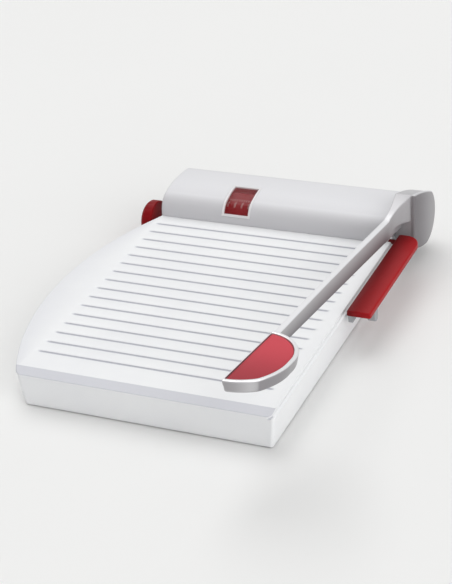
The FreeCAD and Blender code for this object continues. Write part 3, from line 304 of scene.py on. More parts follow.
def piece(name, parts, body, material, replaces=(), sharp=40, tone=None):
    """One object from a list of (points, faces) parts in mm. The painted shading, where given, says from
    points and normals how light or shaded each point is painted; it is kept in the mesh for the material."""
    points, faces, start = [], [], 0
    for some_points, some_faces in parts:
        flat = np.asarray(some_points, float).reshape(-1, 3)
        points.append(flat)
        faces.append(some_faces + start)
        start += len(flat)
    mesh = bpy.data.meshes.new(name)
    mesh.from_pydata((np.concatenate(points) * MM).tolist(), [], np.concatenate(faces).tolist())
    shape = bmesh.new()
    shape.from_mesh(mesh)
    bmesh.ops.remove_doubles(shape, verts=shape.verts, dist=MERGE_REACH)
    bmesh.ops.dissolve_degenerate(shape, edges=shape.edges, dist=MERGE_REACH / 2)
    bmesh.ops.recalc_face_normals(shape, faces=shape.faces)
    shape.to_mesh(mesh)
    shape.free()
    mesh.polygons.foreach_set("use_smooth", np.ones(len(mesh.polygons), bool))
    mesh.set_sharp_from_angle(angle=math.radians(sharp))
    mesh.materials.append(material)
    made = bpy.data.objects.new(name, mesh)
    bpy.context.scene.collection.objects.link(made)
    # Light and shade painted into the colour are stored per point, for the material to read.
    if tone:
        places, normals = np.empty((2, len(mesh.vertices), 3), np.float32)
        mesh.vertices.foreach_get("co", places.ravel())
        mesh.vertex_normals.foreach_get("vector", normals.ravel())
        shades = np.clip(tone(places.astype(float) / MM, normals.astype(float)), 0, 1)
        mesh.attributes.new("tone", "FLOAT", "POINT").data.foreach_set("value", shades.astype(np.float32))
    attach(made, body)
    if replaces:
        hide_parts(*replaces)
    print(name, len(mesh.vertices), "points,", len(mesh.polygons), "faces")


print("points that merge lie within", MERGE_REACH / MM, "mm")

# %% [markdown]
# Sections and outlines are made of lines and arcs. A list of corners is the shortest way to write one
# down, with a number beside each corner that says how far the way to the next one bulges.

# %% Lines and arcs


def bulged(corners, steps=12):
    """Outline through (u, v, bulge) corners as points: each bulge is twice the rise of the arc to the
    next corner over its chord, positive where the arc lies to the right of the way along."""
    points = []
    for corner, following in zip(corners, corners[1:]):
        start, end, bulge = np.array(corner[:2]), np.array(following[:2]), corner[2]
        if bulge == 0:
            points.append(start[None])
            continue
        chord = end - start
        half_turn = 2 * math.atan(bulge)
        centre = (start + end) / 2 - np.array([chord[1], -chord[0]]) / (2 * math.tan(half_turn))
        turn = np.linspace(0, 2 * half_turn, steps, endpoint=False)
        arm = start - centre
        points.append(centre + together(arm[0] * np.cos(turn) - arm[1] * np.sin(turn),
                                        arm[0] * np.sin(turn) + arm[1] * np.cos(turn)))
    points.append(np.array([corners[-1][:2]]))
    return np.concatenate(points)


half = bulged([(1, 0, 1), (-1, 0, 0)])
print("half circle's highest point:", round(float(half[:, 1].max()), 3))

# %% [markdown]
# ## Outlines that are round at every corner
# Moulded parts have no sharp corners. `softened` spreads points evenly along an outline and then averages
# each with its neighbours, which rounds every corner at once and leaves long curves as they are.

# %% Closed outlines


def softened(outline, reach, count=240):
    """Closed outline resampled evenly, each point then averaged over a window of reach mm to each side."""
    closed = np.concatenate([outline, outline[:1]])
    length = np.concatenate([[0], np.cumsum(np.hypot(*np.diff(closed, axis=0).T))])
    spot = np.linspace(0, length[-1], count, endpoint=False)
    even = together(*(np.interp(spot, length, column) for column in closed.T))
    shifts = max(1, round(reach * count / length[-1]))
    weights = np.hanning(2 * shifts + 3)[1:-1]
    moved = [weight * np.roll(even, shift, axis=0)
             for weight, shift in zip(weights, range(-shifts, shifts + 1))]
    return np.sum(moved, axis=0) / weights.sum()


print("a softened square reaches",
      round(float(softened(np.array([(1, 1), (-1, 1), (-1, -1), (1, -1)]), 0.5)[:, 0].max()), 3), "of 1")

# %% [markdown]
# Plates, blocks and bars are stacks of such outlines. `lofted` joins a stack and closes it with a fan at
# each end, `slab` is the stack of a plate with rounded edges, and `turned` spins a profile, as for
# the knob and the rods.

# %% Lofts and turned shapes
# Which of u, v and level is x, y and z, for a stack that goes up, across or along
UPWARD, ACROSS, ALONG = (0, 1, 2), (2, 0, 1), (0, 2, 1)


def levelled(outline, level, order=UPWARD):
    """Outline (u, v) at one level of the third axis; order says which of u, v, level is x, y and z."""
    return together(*outline.T, float(level))[:, order]


def lofted(loops, ends=True):
    """Surface through a stack of closed loops, with a fan to the middle of the first and the last."""
    stack = np.stack(loops)
    if ends:
        middles = [np.broadcast_to(stack[end].mean(axis=0), stack[end].shape)[None] for end in (0, -1)]
        stack = np.concatenate([middles[0], stack, middles[1]])
    return stack, grid_faces(len(stack), stack.shape[1], wrap_columns=True)


def turned(profile, middle, count=64, ripple=None):
    """Surface of a profile of (place along X, radius) turned round an axis along X through middle =
    (y, z). ripple(x, angle) is added to the radius."""
    x, radius = (column[:, None] for column in np.array(profile, float).T)
    angle = np.linspace(0, 2 * np.pi, count, endpoint=False)[None]
    if ripple is not None:
        radius = np.where(radius > 0, radius + ripple(x, angle), 0)
    points = together(x, middle[0] + radius * np.cos(angle), middle[1] + radius * np.sin(angle))
    return points, grid_faces(len(x), count, wrap_columns=True)


def edge_steps(radius, count=6):
    """Quarter round as (how far along, how far in) pairs, from the flat end face to the side."""
    turn = np.linspace(0, np.pi / 2, count)
    return together(radius * (1 - np.cos(turn)), radius * (1 - np.sin(turn)))


def crowned(edge, crown, axis, shares):
    """Rings from an edge loop towards its middle, lifted by crown times 1 - (1 - share) squared."""
    rings = []
    for share in shares:
        ring = edge + (edge.mean(axis=0) - edge) * share
        ring[:, axis] += crown * (1 - (1 - share) ** 2)
        rings.append(ring)
    return rings


def slab(outline_at, low, high, under, over, order=UPWARD, crown=0.0):
    """Closed slab between two levels: outline_at(inset) gives its outline, under and over round its two
    edges, and crown lifts the middle of the upper face."""
    loops = [levelled(outline_at(inset), low + along, order) for along, inset in edge_steps(under)]
    loops += [levelled(outline_at(inset), high - along, order) for along, inset in edge_steps(over)[::-1]]
    if crown:
        loops += crowned(loops[-1], crown, order.index(2), (0.2, 0.45, 0.7, 0.9))
    return lofted(loops)


print("a 2 mm edge in", len(edge_steps(2)), "steps")

# %% [markdown]
# The arm rests 9 degrees up, so its pieces are worked out in a frame of its own: x' across, v along the
# arm from the pivot, and w up. `on_arm` turns them into place, and `to_arm` finds the way back.

# %% The arm's own frame
REST_ANGLE = math.radians(9)
PIVOT = (113.8, 136.0, 27.2)


def on_arm(shape):
    """Points of the arm's frame moved to the common frame: turned about the pivot by the rest angle."""
    points, faces = shape
    across, along, up_arm = np.moveaxis(np.asarray(points, float), -1, 0)
    cosine, sine = math.cos(REST_ANGLE), math.sin(REST_ANGLE)
    return together(PIVOT[0] + across, PIVOT[1] + along * cosine + up_arm * sine,
                    PIVOT[2] - along * sine + up_arm * cosine), faces


def to_arm(points, normals):
    """Places v, w in the arm's frame, and how far each normal looks up from the arm."""
    cosine, sine = math.cos(REST_ANGLE), math.sin(REST_ANGLE)
    y, z = points[:, 1] - PIVOT[1], points[:, 2] - PIVOT[2]
    return y * cosine - z * sine, y * sine + z * cosine, normals[:, 1] * sine + normals[:, 2] * cosine


print("the pivot is at", PIVOT, "mm")

# %% [markdown]
# ## Moulded plastics and painted silver
# The board is white gloss moulding, and knob, stop and handle pad are red. Up close a moulding is never
# one value: its colour drifts by a shade over centimetres, its gloss varies where it has been handled,
# and spark-eroded tools leave a fine grain. So each finish mixes two close colours by a large noise,
# varies its roughness by a second and has a fine bump.

# %% Moulded finish
DRIFT, HANDLING = 0.05, 0.12


def moulding(name, first, second, gloss, grain=0.00002, patch=0.0006, painted_shade_colour=None, **constants):
    """Plastic: a slow drift between two shades, gloss that varies around a value, and a fine grain.
    The dark colour, where given, is painted shade: the colour where the piece's painted shading is 0."""
    finish = Finish(name, **constants)
    cloud = finish.noise(DRIFT, detail=3).ramp(0.3, 0.7)
    handled = finish.noise(DRIFT / 2, detail=4)
    finish.bump(finish.noise(patch, detail=2), grain)
    shade = finish.blend(cloud, first, second)
    # Painted shade: where the piece's painted shading is low, the colour goes to the dark one.
    if painted_shade_colour:
        shade = finish.blend(finish.tone(), painted_shade_colour, shade)
    return finish.paint(Base_Color=shade, Roughness=gloss + (handled - 0.5) * HANDLING)


print("a moulding's colour drifts over", DRIFT / MM, "mm")

# %% [markdown]
# The hood and the arm are painted silver: metal flakes in a clear binder. Light and shade are painted
# on too: a face that looks up is painted bright and one that stands darker, by the piece's painted shading.

# %% Painted and plated finish
FLECK, CLOUD, PEEL = 0.00035, 0.06, 0.003


def silver(name, first, second, painted_shade_colour, gloss, **constants):
    """Silver paint: metal flakes as tiny light and dark specks, and a slight orange peel. The dark colour
    is
    painted shade: the colour where the piece's painted shading is 0."""
    finish = Finish(name, **constants)
    flakes = finish.noise(FLECK, detail=1).ramp(0.35, 0.75)
    cloud = finish.noise(CLOUD, detail=2)
    finish.bump(finish.noise(PEEL, detail=1), 0.00001)
    # Painted light and shade: the piece's painted shading mixes in the dark colour at the sides.
    shade = finish.blend(finish.tone(), painted_shade_colour, finish.blend(flakes * 0.5 + cloud * 0.5, first, second))
    return finish.paint(Base_Color=shade, Roughness=gloss + (cloud - 0.5) * 0.1)


print("metal flakes are", FLECK / MM, "mm across")

# %% [markdown]
# The shades were matched to the photograph. A tint is what the paint shows under this light, and the
# third one of a silver, like the dark one of a moulding, is painted shade: its colour where it is darkest.

# %% The object's own paints
board_white = moulding("board_white_plastic", tint(235, 236, 238), tint(239, 240, 241), 0.45,
                       painted_shade_colour=tint(186, 187, 196), Specular_IOR_Level=0.35)
hood_silver = silver("hood_silver_paint", tint(218, 218, 221), tint(225, 225, 227), tint(205, 204, 207),
                     0.6, Metallic=0.1, Specular_IOR_Level=0.25)
arm_silver = silver("arm_silver_paint", tint(224, 224, 226), tint(232, 232, 234), tint(108, 103, 107),
                    0.45, Metallic=0.3)
cap_silver = silver("cap_silver_paint", tint(218, 218, 220), tint(228, 228, 230), tint(104, 99, 103),
                    0.5, Metallic=0.25)
rim_silver = silver("rim_silver_plating", tint(238, 238, 240), tint(246, 246, 247), tint(132, 128, 132),
                    0.3, Metallic=0.6)
knob_red = moulding("knob_red_plastic", tint(130, 14, 20), tint(136, 17, 23), 0.4, Specular_IOR_Level=0.08)
stop_red = moulding("stop_red_plastic", tint(160, 22, 27), tint(165, 25, 30), 0.4, painted_shade_colour=tint(102, 14, 18),
                    Specular_IOR_Level=0.12)
pad_red = moulding("pad_red_rubber", tint(200, 66, 78), tint(204, 70, 82), 0.62, grain=0.00006,
                   patch=0.0009, painted_shade_colour=tint(148, 44, 54), Specular_IOR_Level=0.25)
border_pale = moulding("border_pale_plastic", tint(222, 220, 221), tint(228, 226, 227), 0.4)
underside_grey = moulding("underside_grey_plastic", tint(150, 152, 156), tint(158, 160, 163), 0.55,
                          grain=0.00008, patch=0.0012)
foot_rubber = moulding("foot_black_rubber", tint(38, 38, 40), tint(46, 46, 48), 0.75, grain=0.00008)
nylon = moulding("bush_nylon", tint(222, 219, 210), tint(228, 226, 218), 0.5)
print("plastics and paints:", len(bpy.data.materials))

# %% [markdown]
# ## Steel
# Rods, screws, the wire and the pin are steel. Turned steel has fine rings across its axis, so a noise is
# squeezed along the axis and read as colour and bump, and a second one smudges the gloss. Nodes that
# the photograph doesn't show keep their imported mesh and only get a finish.

# %% Steel finish
RING_SIZE = 0.01


def steel(name, first, second, gloss=0.25, stretch=(40, 1, 1)):
    """Turned steel: noise squeezed along the axis gives fine rings in colour and bump."""
    finish = Finish(name, Metallic=1.0)
    rings = finish.noise(RING_SIZE, detail=4, stretch=stretch)
    finish.bump(rings, 0.00001)
    smudge = finish.noise(2 * RING_SIZE, detail=2)
    return finish.paint(Base_Color=finish.blend(rings, first, second), Roughness=gloss + smudge * 0.15)


rod_steel = steel("rod_steel", tint(176, 177, 180), tint(204, 204, 206))
wire_steel = steel("wire_steel", tint(150, 150, 152), tint(190, 190, 192), gloss=0.3, stretch=(1, 30, 1))
screw_steel = steel("screw_steel", tint(160, 161, 164), tint(190, 190, 193), stretch=(1, 1, 40))
CARRIED_OVER = [
    (underside_grey, ["bottom_plate"]), (rod_steel, ["guide_rod", "pivot_pin"]),
    (nylon, ["spindle_bearing_left", "spindle_bearing_right", "pivot_bracket", "pivot_washers",
             "carriage"]),
    (screw_steel, ["wire_front_anchor", "wire_tension_screw", "carriage_screws", "handle_screws"]),
]
for finish, nodes in CARRIED_OVER:
    for node in nodes:
        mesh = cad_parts[node].data
        mesh.materials.clear()
        mesh.materials.append(finish)
    print(finish.name, "on", ", ".join(nodes))

# %% [markdown]
# ## The board's top
# The board is a white moulding with a bowed left side, sixteen grooves that run out softly before the
# edge, a bevel along the front and a narrow step at the right where the wire passes. Cut with Booleans,
# each groove would leave hard edges to bevel. One height field holds all of it instead: every feature is
# a function of the place on the board, and they are added up. The grid has rows only as close as each
# groove needs them, so edges stay crisp with few faces.

# %% Rows and columns of the board
HALF_DEPTH, BOARD_TOP, CORNER = 150.0, 27.2, 4.0
RIGHT_SIDE, REAR_RIGHT, REAR_LEFT = 115.0, 109.0, -84.0
BOW_MIDDLE, BOW_RADIUS = (128.903, -31.0), 243.903
BAY = (-77.5, 102.5, 91.02, 147.0)
STEP_Y, STEP_ROUND, BOW_END = 91.0, 0.6, 88.0
GROOVE_FIRST, GROOVE_PITCH, GROOVE_COUNT = -120.0, 13.04, 16
GROOVE_LEFT, GROOVE_RIGHT, RUN_OUT = -85.0, 105.0, 6.0

corner_steps = edge_steps(CORNER, 9)
bevel_rows = [-149.9, -148.0, -144, -141.8, -141.3, -141, -140.7, -140.2, -134, -128]
hood_rows = [84, BOW_END, BAY[2], 105, 119, 133, BAY[3], 149.95]
groove_rows = np.array([-6.02, -5.2, -4.0, -2.8, -1.9, -1.45, -1.25, -1.1, -0.98, -0.8, -0.66, -0.5, 0])
groove_rows = np.concatenate([groove_rows, -groove_rows[-2::-1]])
middles = GROOVE_FIRST + GROOVE_PITCH * np.arange(GROOVE_COUNT)
step_turn = np.linspace(0, np.pi / 2, 5)
rows = np.unique(np.concatenate([
    -HALF_DEPTH + corner_steps[:, 0], bevel_rows, (middles[:, None] + groove_rows).ravel(), hood_rows,
    STEP_Y - STEP_ROUND * (1 - np.sin(step_turn)), HALF_DEPTH - corner_steps[:, 0]]).round(4))


def rounded_drop(distance, radius):
    """How far a quarter round of that radius falls back from the surface at a distance from its edge."""
    inside = np.clip(radius - distance, 0, radius)
    return radius - np.sqrt(radius ** 2 - inside ** 2)


corner_inset = rounded_drop(HALF_DEPTH - np.abs(rows), CORNER)
bow = BOW_MIDDLE[0] - np.sqrt(BOW_RADIUS ** 2 - (rows - BOW_MIDDLE[1]) ** 2)
left_side = np.where(rows > BOW_END, REAR_LEFT, np.minimum(bow, REAR_LEFT)) + corner_inset
step_inset = rounded_drop(STEP_Y - rows, STEP_ROUND)
right_side = np.where(rows > STEP_Y + 0.01, REAR_RIGHT, RIGHT_SIDE - step_inset) - corner_inset
print("board:", len(rows), "rows, widest", round(float((right_side - left_side).max()), 1), "mm")

# %% [markdown]
# The columns follow the outline: they lie close at both edges, where the surface bends, close again where
# the grooves run out, and wide apart between.

# %% Columns of the board
LEFT_OFFSETS = np.array([0, 0.05, 0.18, 0.4, 0.7, 1.1, 2.2, 3.6])
RIGHT_OFFSETS = np.array([0, 0.05, 0.18, 0.4, 0.7, 1.2, 2.2, 2.36, 2.42, 2.6, 2.9, 5.0])
LEFT_MARGIN, RIGHT_MARGIN = 4.0, 5.4
is_rear = rows >= BAY[2]
first_x = np.maximum(np.where(is_rear, BAY[0], GROOVE_LEFT), left_side + LEFT_MARGIN)
last_x = np.minimum(np.where(is_rear, BAY[1], GROOVE_RIGHT), right_side - RIGHT_MARGIN)
run_out = np.linspace(0, RUN_OUT, 9) / (GROOVE_RIGHT - GROOVE_LEFT)
shares = np.concatenate([run_out, np.linspace(0.08, 0.92, 9), 1 - run_out[::-1]])
top_x = np.concatenate([left_side[:, None] + LEFT_OFFSETS,
                        first_x[:, None] + (last_x - first_x)[:, None] * shares,
                        right_side[:, None] - RIGHT_OFFSETS[::-1]], axis=1)
top_y = np.broadcast_to(rows[:, None], top_x.shape)
print("board:", top_x.shape[1], "columns")

# %% [markdown]
# The height is the top less each feature: a groove is a smooth step into a flat floor with a faint hollow
# on each side, and it fades out towards its ends. The bevel is a ramp, the slot a step, and the edge
# a quarter round.

# %% Height of the board
EDGE_ROUND, END_ROUND, SLOT_WIDTH, SLOT_DEPTH = 1.0, 0.6, 2.4, 1.8
BEVEL_WIDTH, BEVEL_DROP, HOOD_COVERS = 9.0, 1.6, 86.0
MOUTH_HALF, FLOOR_HALF, HOLLOW, GROOVE_DEPTH = 1.1, 0.66, 0.45, 1.2


def smooth(value):
    """0 below 0, 1 above 1 and 3v2 - 2v3 between."""
    value = np.clip(value, 0, 1)
    return value * value * (3 - 2 * value)


from_middle = np.abs((top_y - GROOVE_FIRST + GROOVE_PITCH / 2) % GROOVE_PITCH - GROOVE_PITCH / 2)
half_land = (GROOVE_PITCH - 1) / 2
flank = HOLLOW * (np.clip(half_land - from_middle, 0, None) / (half_land - MOUTH_HALF)) ** 2
share_down = smooth((MOUTH_HALF - from_middle) / (MOUTH_HALF - FLOOR_HALF))
step = HOLLOW + (GROOVE_DEPTH - HOLLOW) * share_down
groove = np.where(from_middle < MOUTH_HALF, step, flank)
in_length = smooth((top_x - GROOVE_LEFT) / RUN_OUT) * smooth((GROOVE_RIGHT - top_x) / RUN_OUT)
in_rows = (top_y > GROOVE_FIRST - half_land - 0.01) & (top_y < middles[-1] + half_land + 0.01)
bevel = BEVEL_DROP * np.clip(-(HALF_DEPTH - BEVEL_WIDTH) - top_y, 0, None) / BEVEL_WIDTH
from_left, from_right = top_x - left_side[:, None], right_side[:, None] - top_x
slot = SLOT_DEPTH * smooth((SLOT_WIDTH + 0.05 - from_right) / 0.1) * (top_y <= STEP_Y)
end_drop = rounded_drop(HALF_DEPTH - np.abs(top_y), END_ROUND)
side_drop = rounded_drop(np.minimum(from_left, from_right + (top_y <= STEP_Y) * 0.5), EDGE_ROUND)
is_under_hood = smooth((top_y - HOOD_COVERS) / 2)
top_z = (BOARD_TOP - bevel - slot - groove * in_length * in_rows
         - np.maximum(end_drop, side_drop) * (1 - is_under_hood * 0.7))
print("groove floor at", round(float(top_z.min()), 2), "mm; top at", round(float(top_z.max()), 2), "mm")

# %% [markdown]
# ## The board's sides
# The walls lean in towards the foot so that the moulding leaves its tool, the front wall is set back
# under a small lip, and a rim at the foot holds the closing plate. The sides start from the border of
# the top's grid and go down ring by ring, so top and side share their points and no seam opens.

# %% Sides of the board
LEAN, LIP_Z, LIP_BACK, RIM, PLATE_TOP, FOOT_ROUND = 3.5, 24.2, 0.8, 1.5, 2.0, 0.5
SIDE_REACH = 60.0


def border(grid):
    """Points along the four sides of a grid, once round."""
    return np.concatenate([grid[0, :-1], grid[:-1, -1], grid[-1, :0:-1], grid[:0:-1, 0]])


def leaned(points, side):
    """Points moved inwards by the wall's lean at their height; side is -1 to 1 across the board."""
    moved = points.copy()
    moved[:, 0] -= side * LEAN * (BOARD_TOP - moved[:, 2]) / BOARD_TOP
    return moved


top = together(top_x, top_y, top_z)
edge = border(top)
side = np.clip((edge[:, 0] - (edge[:, 0].max() + edge[:, 0].min()) / 2) / SIDE_REACH, -1, 1)
top[:, 0] = leaned(top[:, 0], -1)
top[:, -1] = leaned(top[:, -1], 1)
foot_rows = np.interp(rows, [-HALF_DEPTH, 0, BAY[3], HALF_DEPTH],
                      [-HALF_DEPTH + RIM, 0, BAY[3], HALF_DEPTH - RIM])
foot_left, foot_right = left_side + LEAN + RIM, right_side - LEAN - RIM
foot_first, foot_last = np.maximum(first_x, foot_left + 1.5), np.minimum(last_x, foot_right - 1.4)
foot_x = np.concatenate([foot_left[:, None] + LEFT_OFFSETS * 0.4,
                         foot_first[:, None] + (foot_last - foot_first)[:, None] * shares,
                         foot_right[:, None] - RIGHT_OFFSETS[::-1] * 0.25], axis=1)
foot = together(foot_x, foot_rows[:, None], PLATE_TOP)

rings = [border(top)]
for height in (LIP_Z + 0.25, LIP_Z, LIP_Z - 0.02, 18, 10, 3, 0.5, 0.15, 0.0):
    ring = edge.copy()
    ring[:, 2] = np.minimum(edge[:, 2], height)
    tuck = rounded_drop(height, FOOT_ROUND)
    if height < LIP_Z:
        ring[:, 1] = np.maximum(ring[:, 1], -HALF_DEPTH + LIP_BACK + tuck)
    ring = leaned(ring, side)
    ring[:, 0] -= side * tuck
    rings.append(ring)
rim_ring = border(foot)
for height in (0.0, PLATE_TOP):
    rings.append(np.column_stack([rim_ring[:, :2], np.full(len(rim_ring), height)]))
print("the foot's rim is", round(float(np.ptp(rim_ring[:, 0])), 1), "mm wide")

# %% [markdown]
# The top is open where the mechanism sits, so its grid leaves out a bay, and a tube of two loops lines
# the hole down to the foot. Shade is painted into the top's colour: the grooves and the front bevel are
# painted greyer, as shade, and the plain rim at the left is a little greyer too.

# %% Board
# The grooves and the bevel get painted shade; the plain left rim is only a little greyer.
GROOVE_SHADE, RIM_SHADE, BEVEL_SHADE = 0.85, 0.22, 0.7


def board_painted_shading(points, normals):
    """Painted shading: lands lightest, grooves and the front bevel painted greyer as shade, and the
    plain rim at the left a little greyer.
    """
    x, y, z = points.T
    bevel_end, slot_start = -HALF_DEPTH + BEVEL_WIDTH, RIGHT_SIDE - SLOT_WIDTH
    in_board = (y > bevel_end + 0.3) & (x < slot_start - 0.3)
    in_groove = GROOVE_SHADE * smooth((BOARD_TOP - 0.2 - z) / 0.8) * in_board
    on_rim = RIM_SHADE * smooth((GROOVE_LEFT - x) / 3) * in_board
    on_bevel = BEVEL_SHADE * smooth((bevel_end + 0.2 - y) / 0.4) * (x < slot_start)
    return np.where(normals[:, 2] > 0.4, 1 - in_groove - on_rim - on_bevel, 1)


bay_rows = np.flatnonzero((rows >= BAY[2]) & (rows <= BAY[3]))
bay_columns = (len(LEFT_OFFSETS), len(LEFT_OFFSETS) + len(shares) - 1)
keep = np.ones((len(rows) - 1, top_x.shape[1] - 1), bool)
keep[bay_rows[0]:bay_rows[-1], bay_columns[0]:bay_columns[1]] = False
bay = (slice(bay_rows[0], bay_rows[-1] + 1), slice(bay_columns[0], bay_columns[1] + 1))
faces = grid_faces(*top_x.shape, keep=keep)
piece("board_shell",
      [(top, faces), lofted(rings, ends=False), (foot, faces[:, ::-1]),
       lofted([border(foot[bay]), border(top[bay])], ends=False)],
      "base", board_white, ["base_board"], sharp=35, tone=board_painted_shading)

# %% [markdown]
# ## The hood
# The hood over the mechanism is one long section carried along X: a steep front, a flat crown and a
# round back, with ends that draw in by a quarter round. A wall is two such skins, the inner one moved
# in by the wall's thickness, joined by strips wherever the skin has an open border, as at the foot
# and round the window. That keeps the wall even, where a thickened mesh would pinch in the corners.

# %% Skins with a thickness


def closed_shell(outer, inner, keep=None):
    """Solid wall between two grids of the same size, with a strip along every open border."""
    quads = grid_faces(*outer.shape[:2], keep=keep)
    count = outer.shape[0] * outer.shape[1]
    edges = np.stack([quads, np.roll(quads, -1, axis=1)], axis=-1).reshape(-1, 2)
    low, high = edges.min(axis=1), edges.max(axis=1)
    _, first, uses = np.unique(low * count + high, return_index=True, return_counts=True)
    rim = edges[first[uses == 1]]
    strips = np.stack([rim[:, 1], rim[:, 0], rim[:, 0] + count, rim[:, 1] + count], axis=-1)
    points = np.concatenate([outer.reshape(-1, 3), inner.reshape(-1, 3)])
    return points, np.concatenate([quads, quads[:, ::-1] + count, strips])


HOOD_FRONT, HOOD_DEPTH, HOOD_RISE, HOOD_WALL, HOOD_ROUND = 88.0, 62.0, 19.1, 2.5, 2.0
HOOD_SHARES = [(0, 0, 0), (0.016, 0.314, -0.289), (0.202, 0.874, -0.083), (0.532, 1, -0.03),
               (0.839, 0.911, -0.3), (1, 0.366, 0), (1, 0, 0)]


def hood_section(inset):
    """The hood's section as (y, z) points from its front foot over the top, moved in by an inset."""
    corners = [(HOOD_FRONT + inset + (HOOD_DEPTH - 2 * inset) * deep,
                BOARD_TOP + (HOOD_RISE - inset) * high, bulge) for deep, high, bulge in HOOD_SHARES]
    return bulged(corners, 16)


section, section_in = hood_section(0), hood_section(1)
section_way = np.concatenate([[0], np.cumsum(np.hypot(*np.diff(section, axis=0).T))])
crest = section[:, 1].argmax()


def way_to(y=None, z=None):
    """Way along the section to a depth y, or to a height z on the front."""
    if z is not None:
        return float(np.interp(z, section[:crest, 1], section_way[:crest]))
    return float(np.interp(y, section[:, 0], section_way))


def hood_points(x, way, inset):
    """Points on the hood: at x, a way along its section, and moved in by an inset from its skin."""
    on_skin, moved = ([np.interp(way, section_way, column) for column in line.T]
                      for line in (section, section_in))
    y, z = (start + inset * (end - start) for start, end in zip(on_skin, moved))
    return together(x, y, z)


print("the hood's section is", round(section_way[-1], 1), "mm long")

# %% [markdown]
# Each skin is a grid of places across by ways along the section, with a column and a row at each border
# of the window's opening. The quads of the opening are left out, and the strips close the wall round it.
# Light is painted into the hood's colour: it is lightest where the section looks up.

# %% Hood
CROWN_LIGHT, RIGHT_LIGHT = 0.95, 0.15
section_up = np.gradient(section[:, 0]) / np.hypot(*np.gradient(section, axis=0).T)


def hood_painted_light(points, normals):
    """Painted light: lightest where the hood's section looks up, and a little lighter towards its right
    end.
    """
    looks_up = np.clip(np.interp(points[:, 1], section[:, 0], section_up), 0, 1)
    return CROWN_LIGHT * looks_up ** 9 + RIGHT_LIGHT * smooth((points[:, 0] + 60) / 150)


WINDOW, WINDOW_LOW_Z, WINDOW_REAR_Y, BORDER = (-28.0, -7.0), 35.2, 116.0, 2.0
WINDOW_WAY = (way_to(z=WINDOW_LOW_Z), way_to(y=WINDOW_REAR_Y))
OPENING = (WINDOW[0] - BORDER, WINDOW[1] + BORDER)
OPENING_WAY = (way_to(z=WINDOW_LOW_Z - BORDER), way_to(y=WINDOW_REAR_Y + BORDER))
ends = edge_steps(HOOD_ROUND, 7)
inside_x = np.concatenate([[OPENING[0]], [OPENING[1]], np.linspace(20, 90, 4)])
hood_x = np.concatenate([REAR_LEFT + ends[:, 0], [-60], inside_x, REAR_RIGHT - ends[::-1, 0]])
hood_inset = np.concatenate([ends[:, 1], np.zeros(1 + len(inside_x)), ends[::-1, 1]])
foot_steps = edge_steps(FOOT_ROUND, 4)
hood_way = np.unique(np.concatenate([
    foot_steps[:, 0], section_way, section_way[-1] - foot_steps[:, 0], OPENING_WAY]).round(5))
foot_inset = rounded_drop(np.minimum(hood_way, section_way[-1] - hood_way), FOOT_ROUND)


def hood_skin(x, inset):
    """The skin at one inset, with a wall at each end that shrinks to the middle of the foot."""
    skin = hood_points(x[:, None], hood_way[None], inset)
    middle = np.array([0, HOOD_FRONT + HOOD_DEPTH / 2, BOARD_TOP])
    caps = []
    for end in (skin[0], skin[-1]):
        shares = np.linspace(0, 1, 6)[:-1, None, None]
        caps.append(np.where([True, False, False], end[None], middle + (end - middle) * shares))
    return np.concatenate([caps[0], skin, caps[1][::-1]])


outer = hood_skin(hood_x, np.maximum(hood_inset[:, None], foot_inset[None]))
inner = hood_skin(np.clip(hood_x, REAR_LEFT + HOOD_WALL, REAR_RIGHT - HOOD_WALL), HOOD_WALL)
quad_x = outer[:-1, 0, 0]
across = (quad_x >= OPENING[0] - 0.01) & (quad_x < OPENING[1] - 0.01)
upward = (hood_way[:-1] >= OPENING_WAY[0] - 0.001) & (hood_way[:-1] < OPENING_WAY[1] - 0.001)
piece("hood_shell", [closed_shell(outer, inner, keep=~(across[:, None] & upward[None]))], "base",
      hood_silver, ["rear_housing"], tone=hood_painted_light)

# %% [markdown]
# ## The window
# A pale border sits in the hood's opening and a dark red lens sits a little lower inside it, so the
# thickness can be read. Both follow the hood's section, so they use its two-way place: x across and
# the way along the section. Their edges are rounded by sinking points that lie near a border. The
# lens lets a part of the light through each of its two faces, so the scale behind it shows.

# %% Shell over a stretch of the hood
BESIDE_EDGE, GAP = np.array([0, 0.04, 0.15, 0.3, 0.5]), 0.1


def places(edges, hole, count):
    """Even places between two edges, and close ones at and beside each edge, so that a small round has
    points to bend."""
    close = [edge + side * BESIDE_EDGE for edge in (*edges, *hole) for side in (-1, 1)]
    every = np.concatenate([*close, np.linspace(*edges, count)])
    return np.unique(every[(every >= edges[0]) & (every <= edges[1])].round(4))


def outside(values, span):
    """How far each value lies outside a span; below 0 inside it."""
    return np.maximum(span[0] - values, values - span[1])


def window_shell(x_edges, way_edges, sink, edge_round, thickness, hole=((), ())):
    """Shell over a stretch of the hood, sunk below its skin, with rounded edges and maybe a hole."""
    x, way = places(x_edges, hole[0], 9), places(way_edges, hole[1], 25)
    gap, keep = -np.maximum(outside(x, x_edges)[:, None], outside(way, way_edges)[None]), None
    if hole[0]:
        to_hole = np.maximum(outside(x, hole[0])[:, None], outside(way, hole[1])[None])
        gap = np.minimum(gap, np.maximum(to_hole, 0))
        middle_x, middle_way = (x[1:] + x[:-1]) / 2, (way[1:] + way[:-1]) / 2
        keep = np.maximum(outside(middle_x, hole[0])[:, None], outside(middle_way, hole[1])[None]) > 0
    outer = hood_points(x[:, None], way[None], sink + rounded_drop(gap, edge_round))
    return closed_shell(outer, hood_points(x[:, None], way[None], sink + thickness), keep)


print("the window is", round(WINDOW[1] - WINDOW[0], 1), "by", round(WINDOW_WAY[1] - WINDOW_WAY[0], 1), "mm")

# %% [markdown]
# The border stands a little proud of the hood and has a hole for the lens. The lens is see-through red
# plastic, sunk below the border's face, and each of them has a thin gap all round.

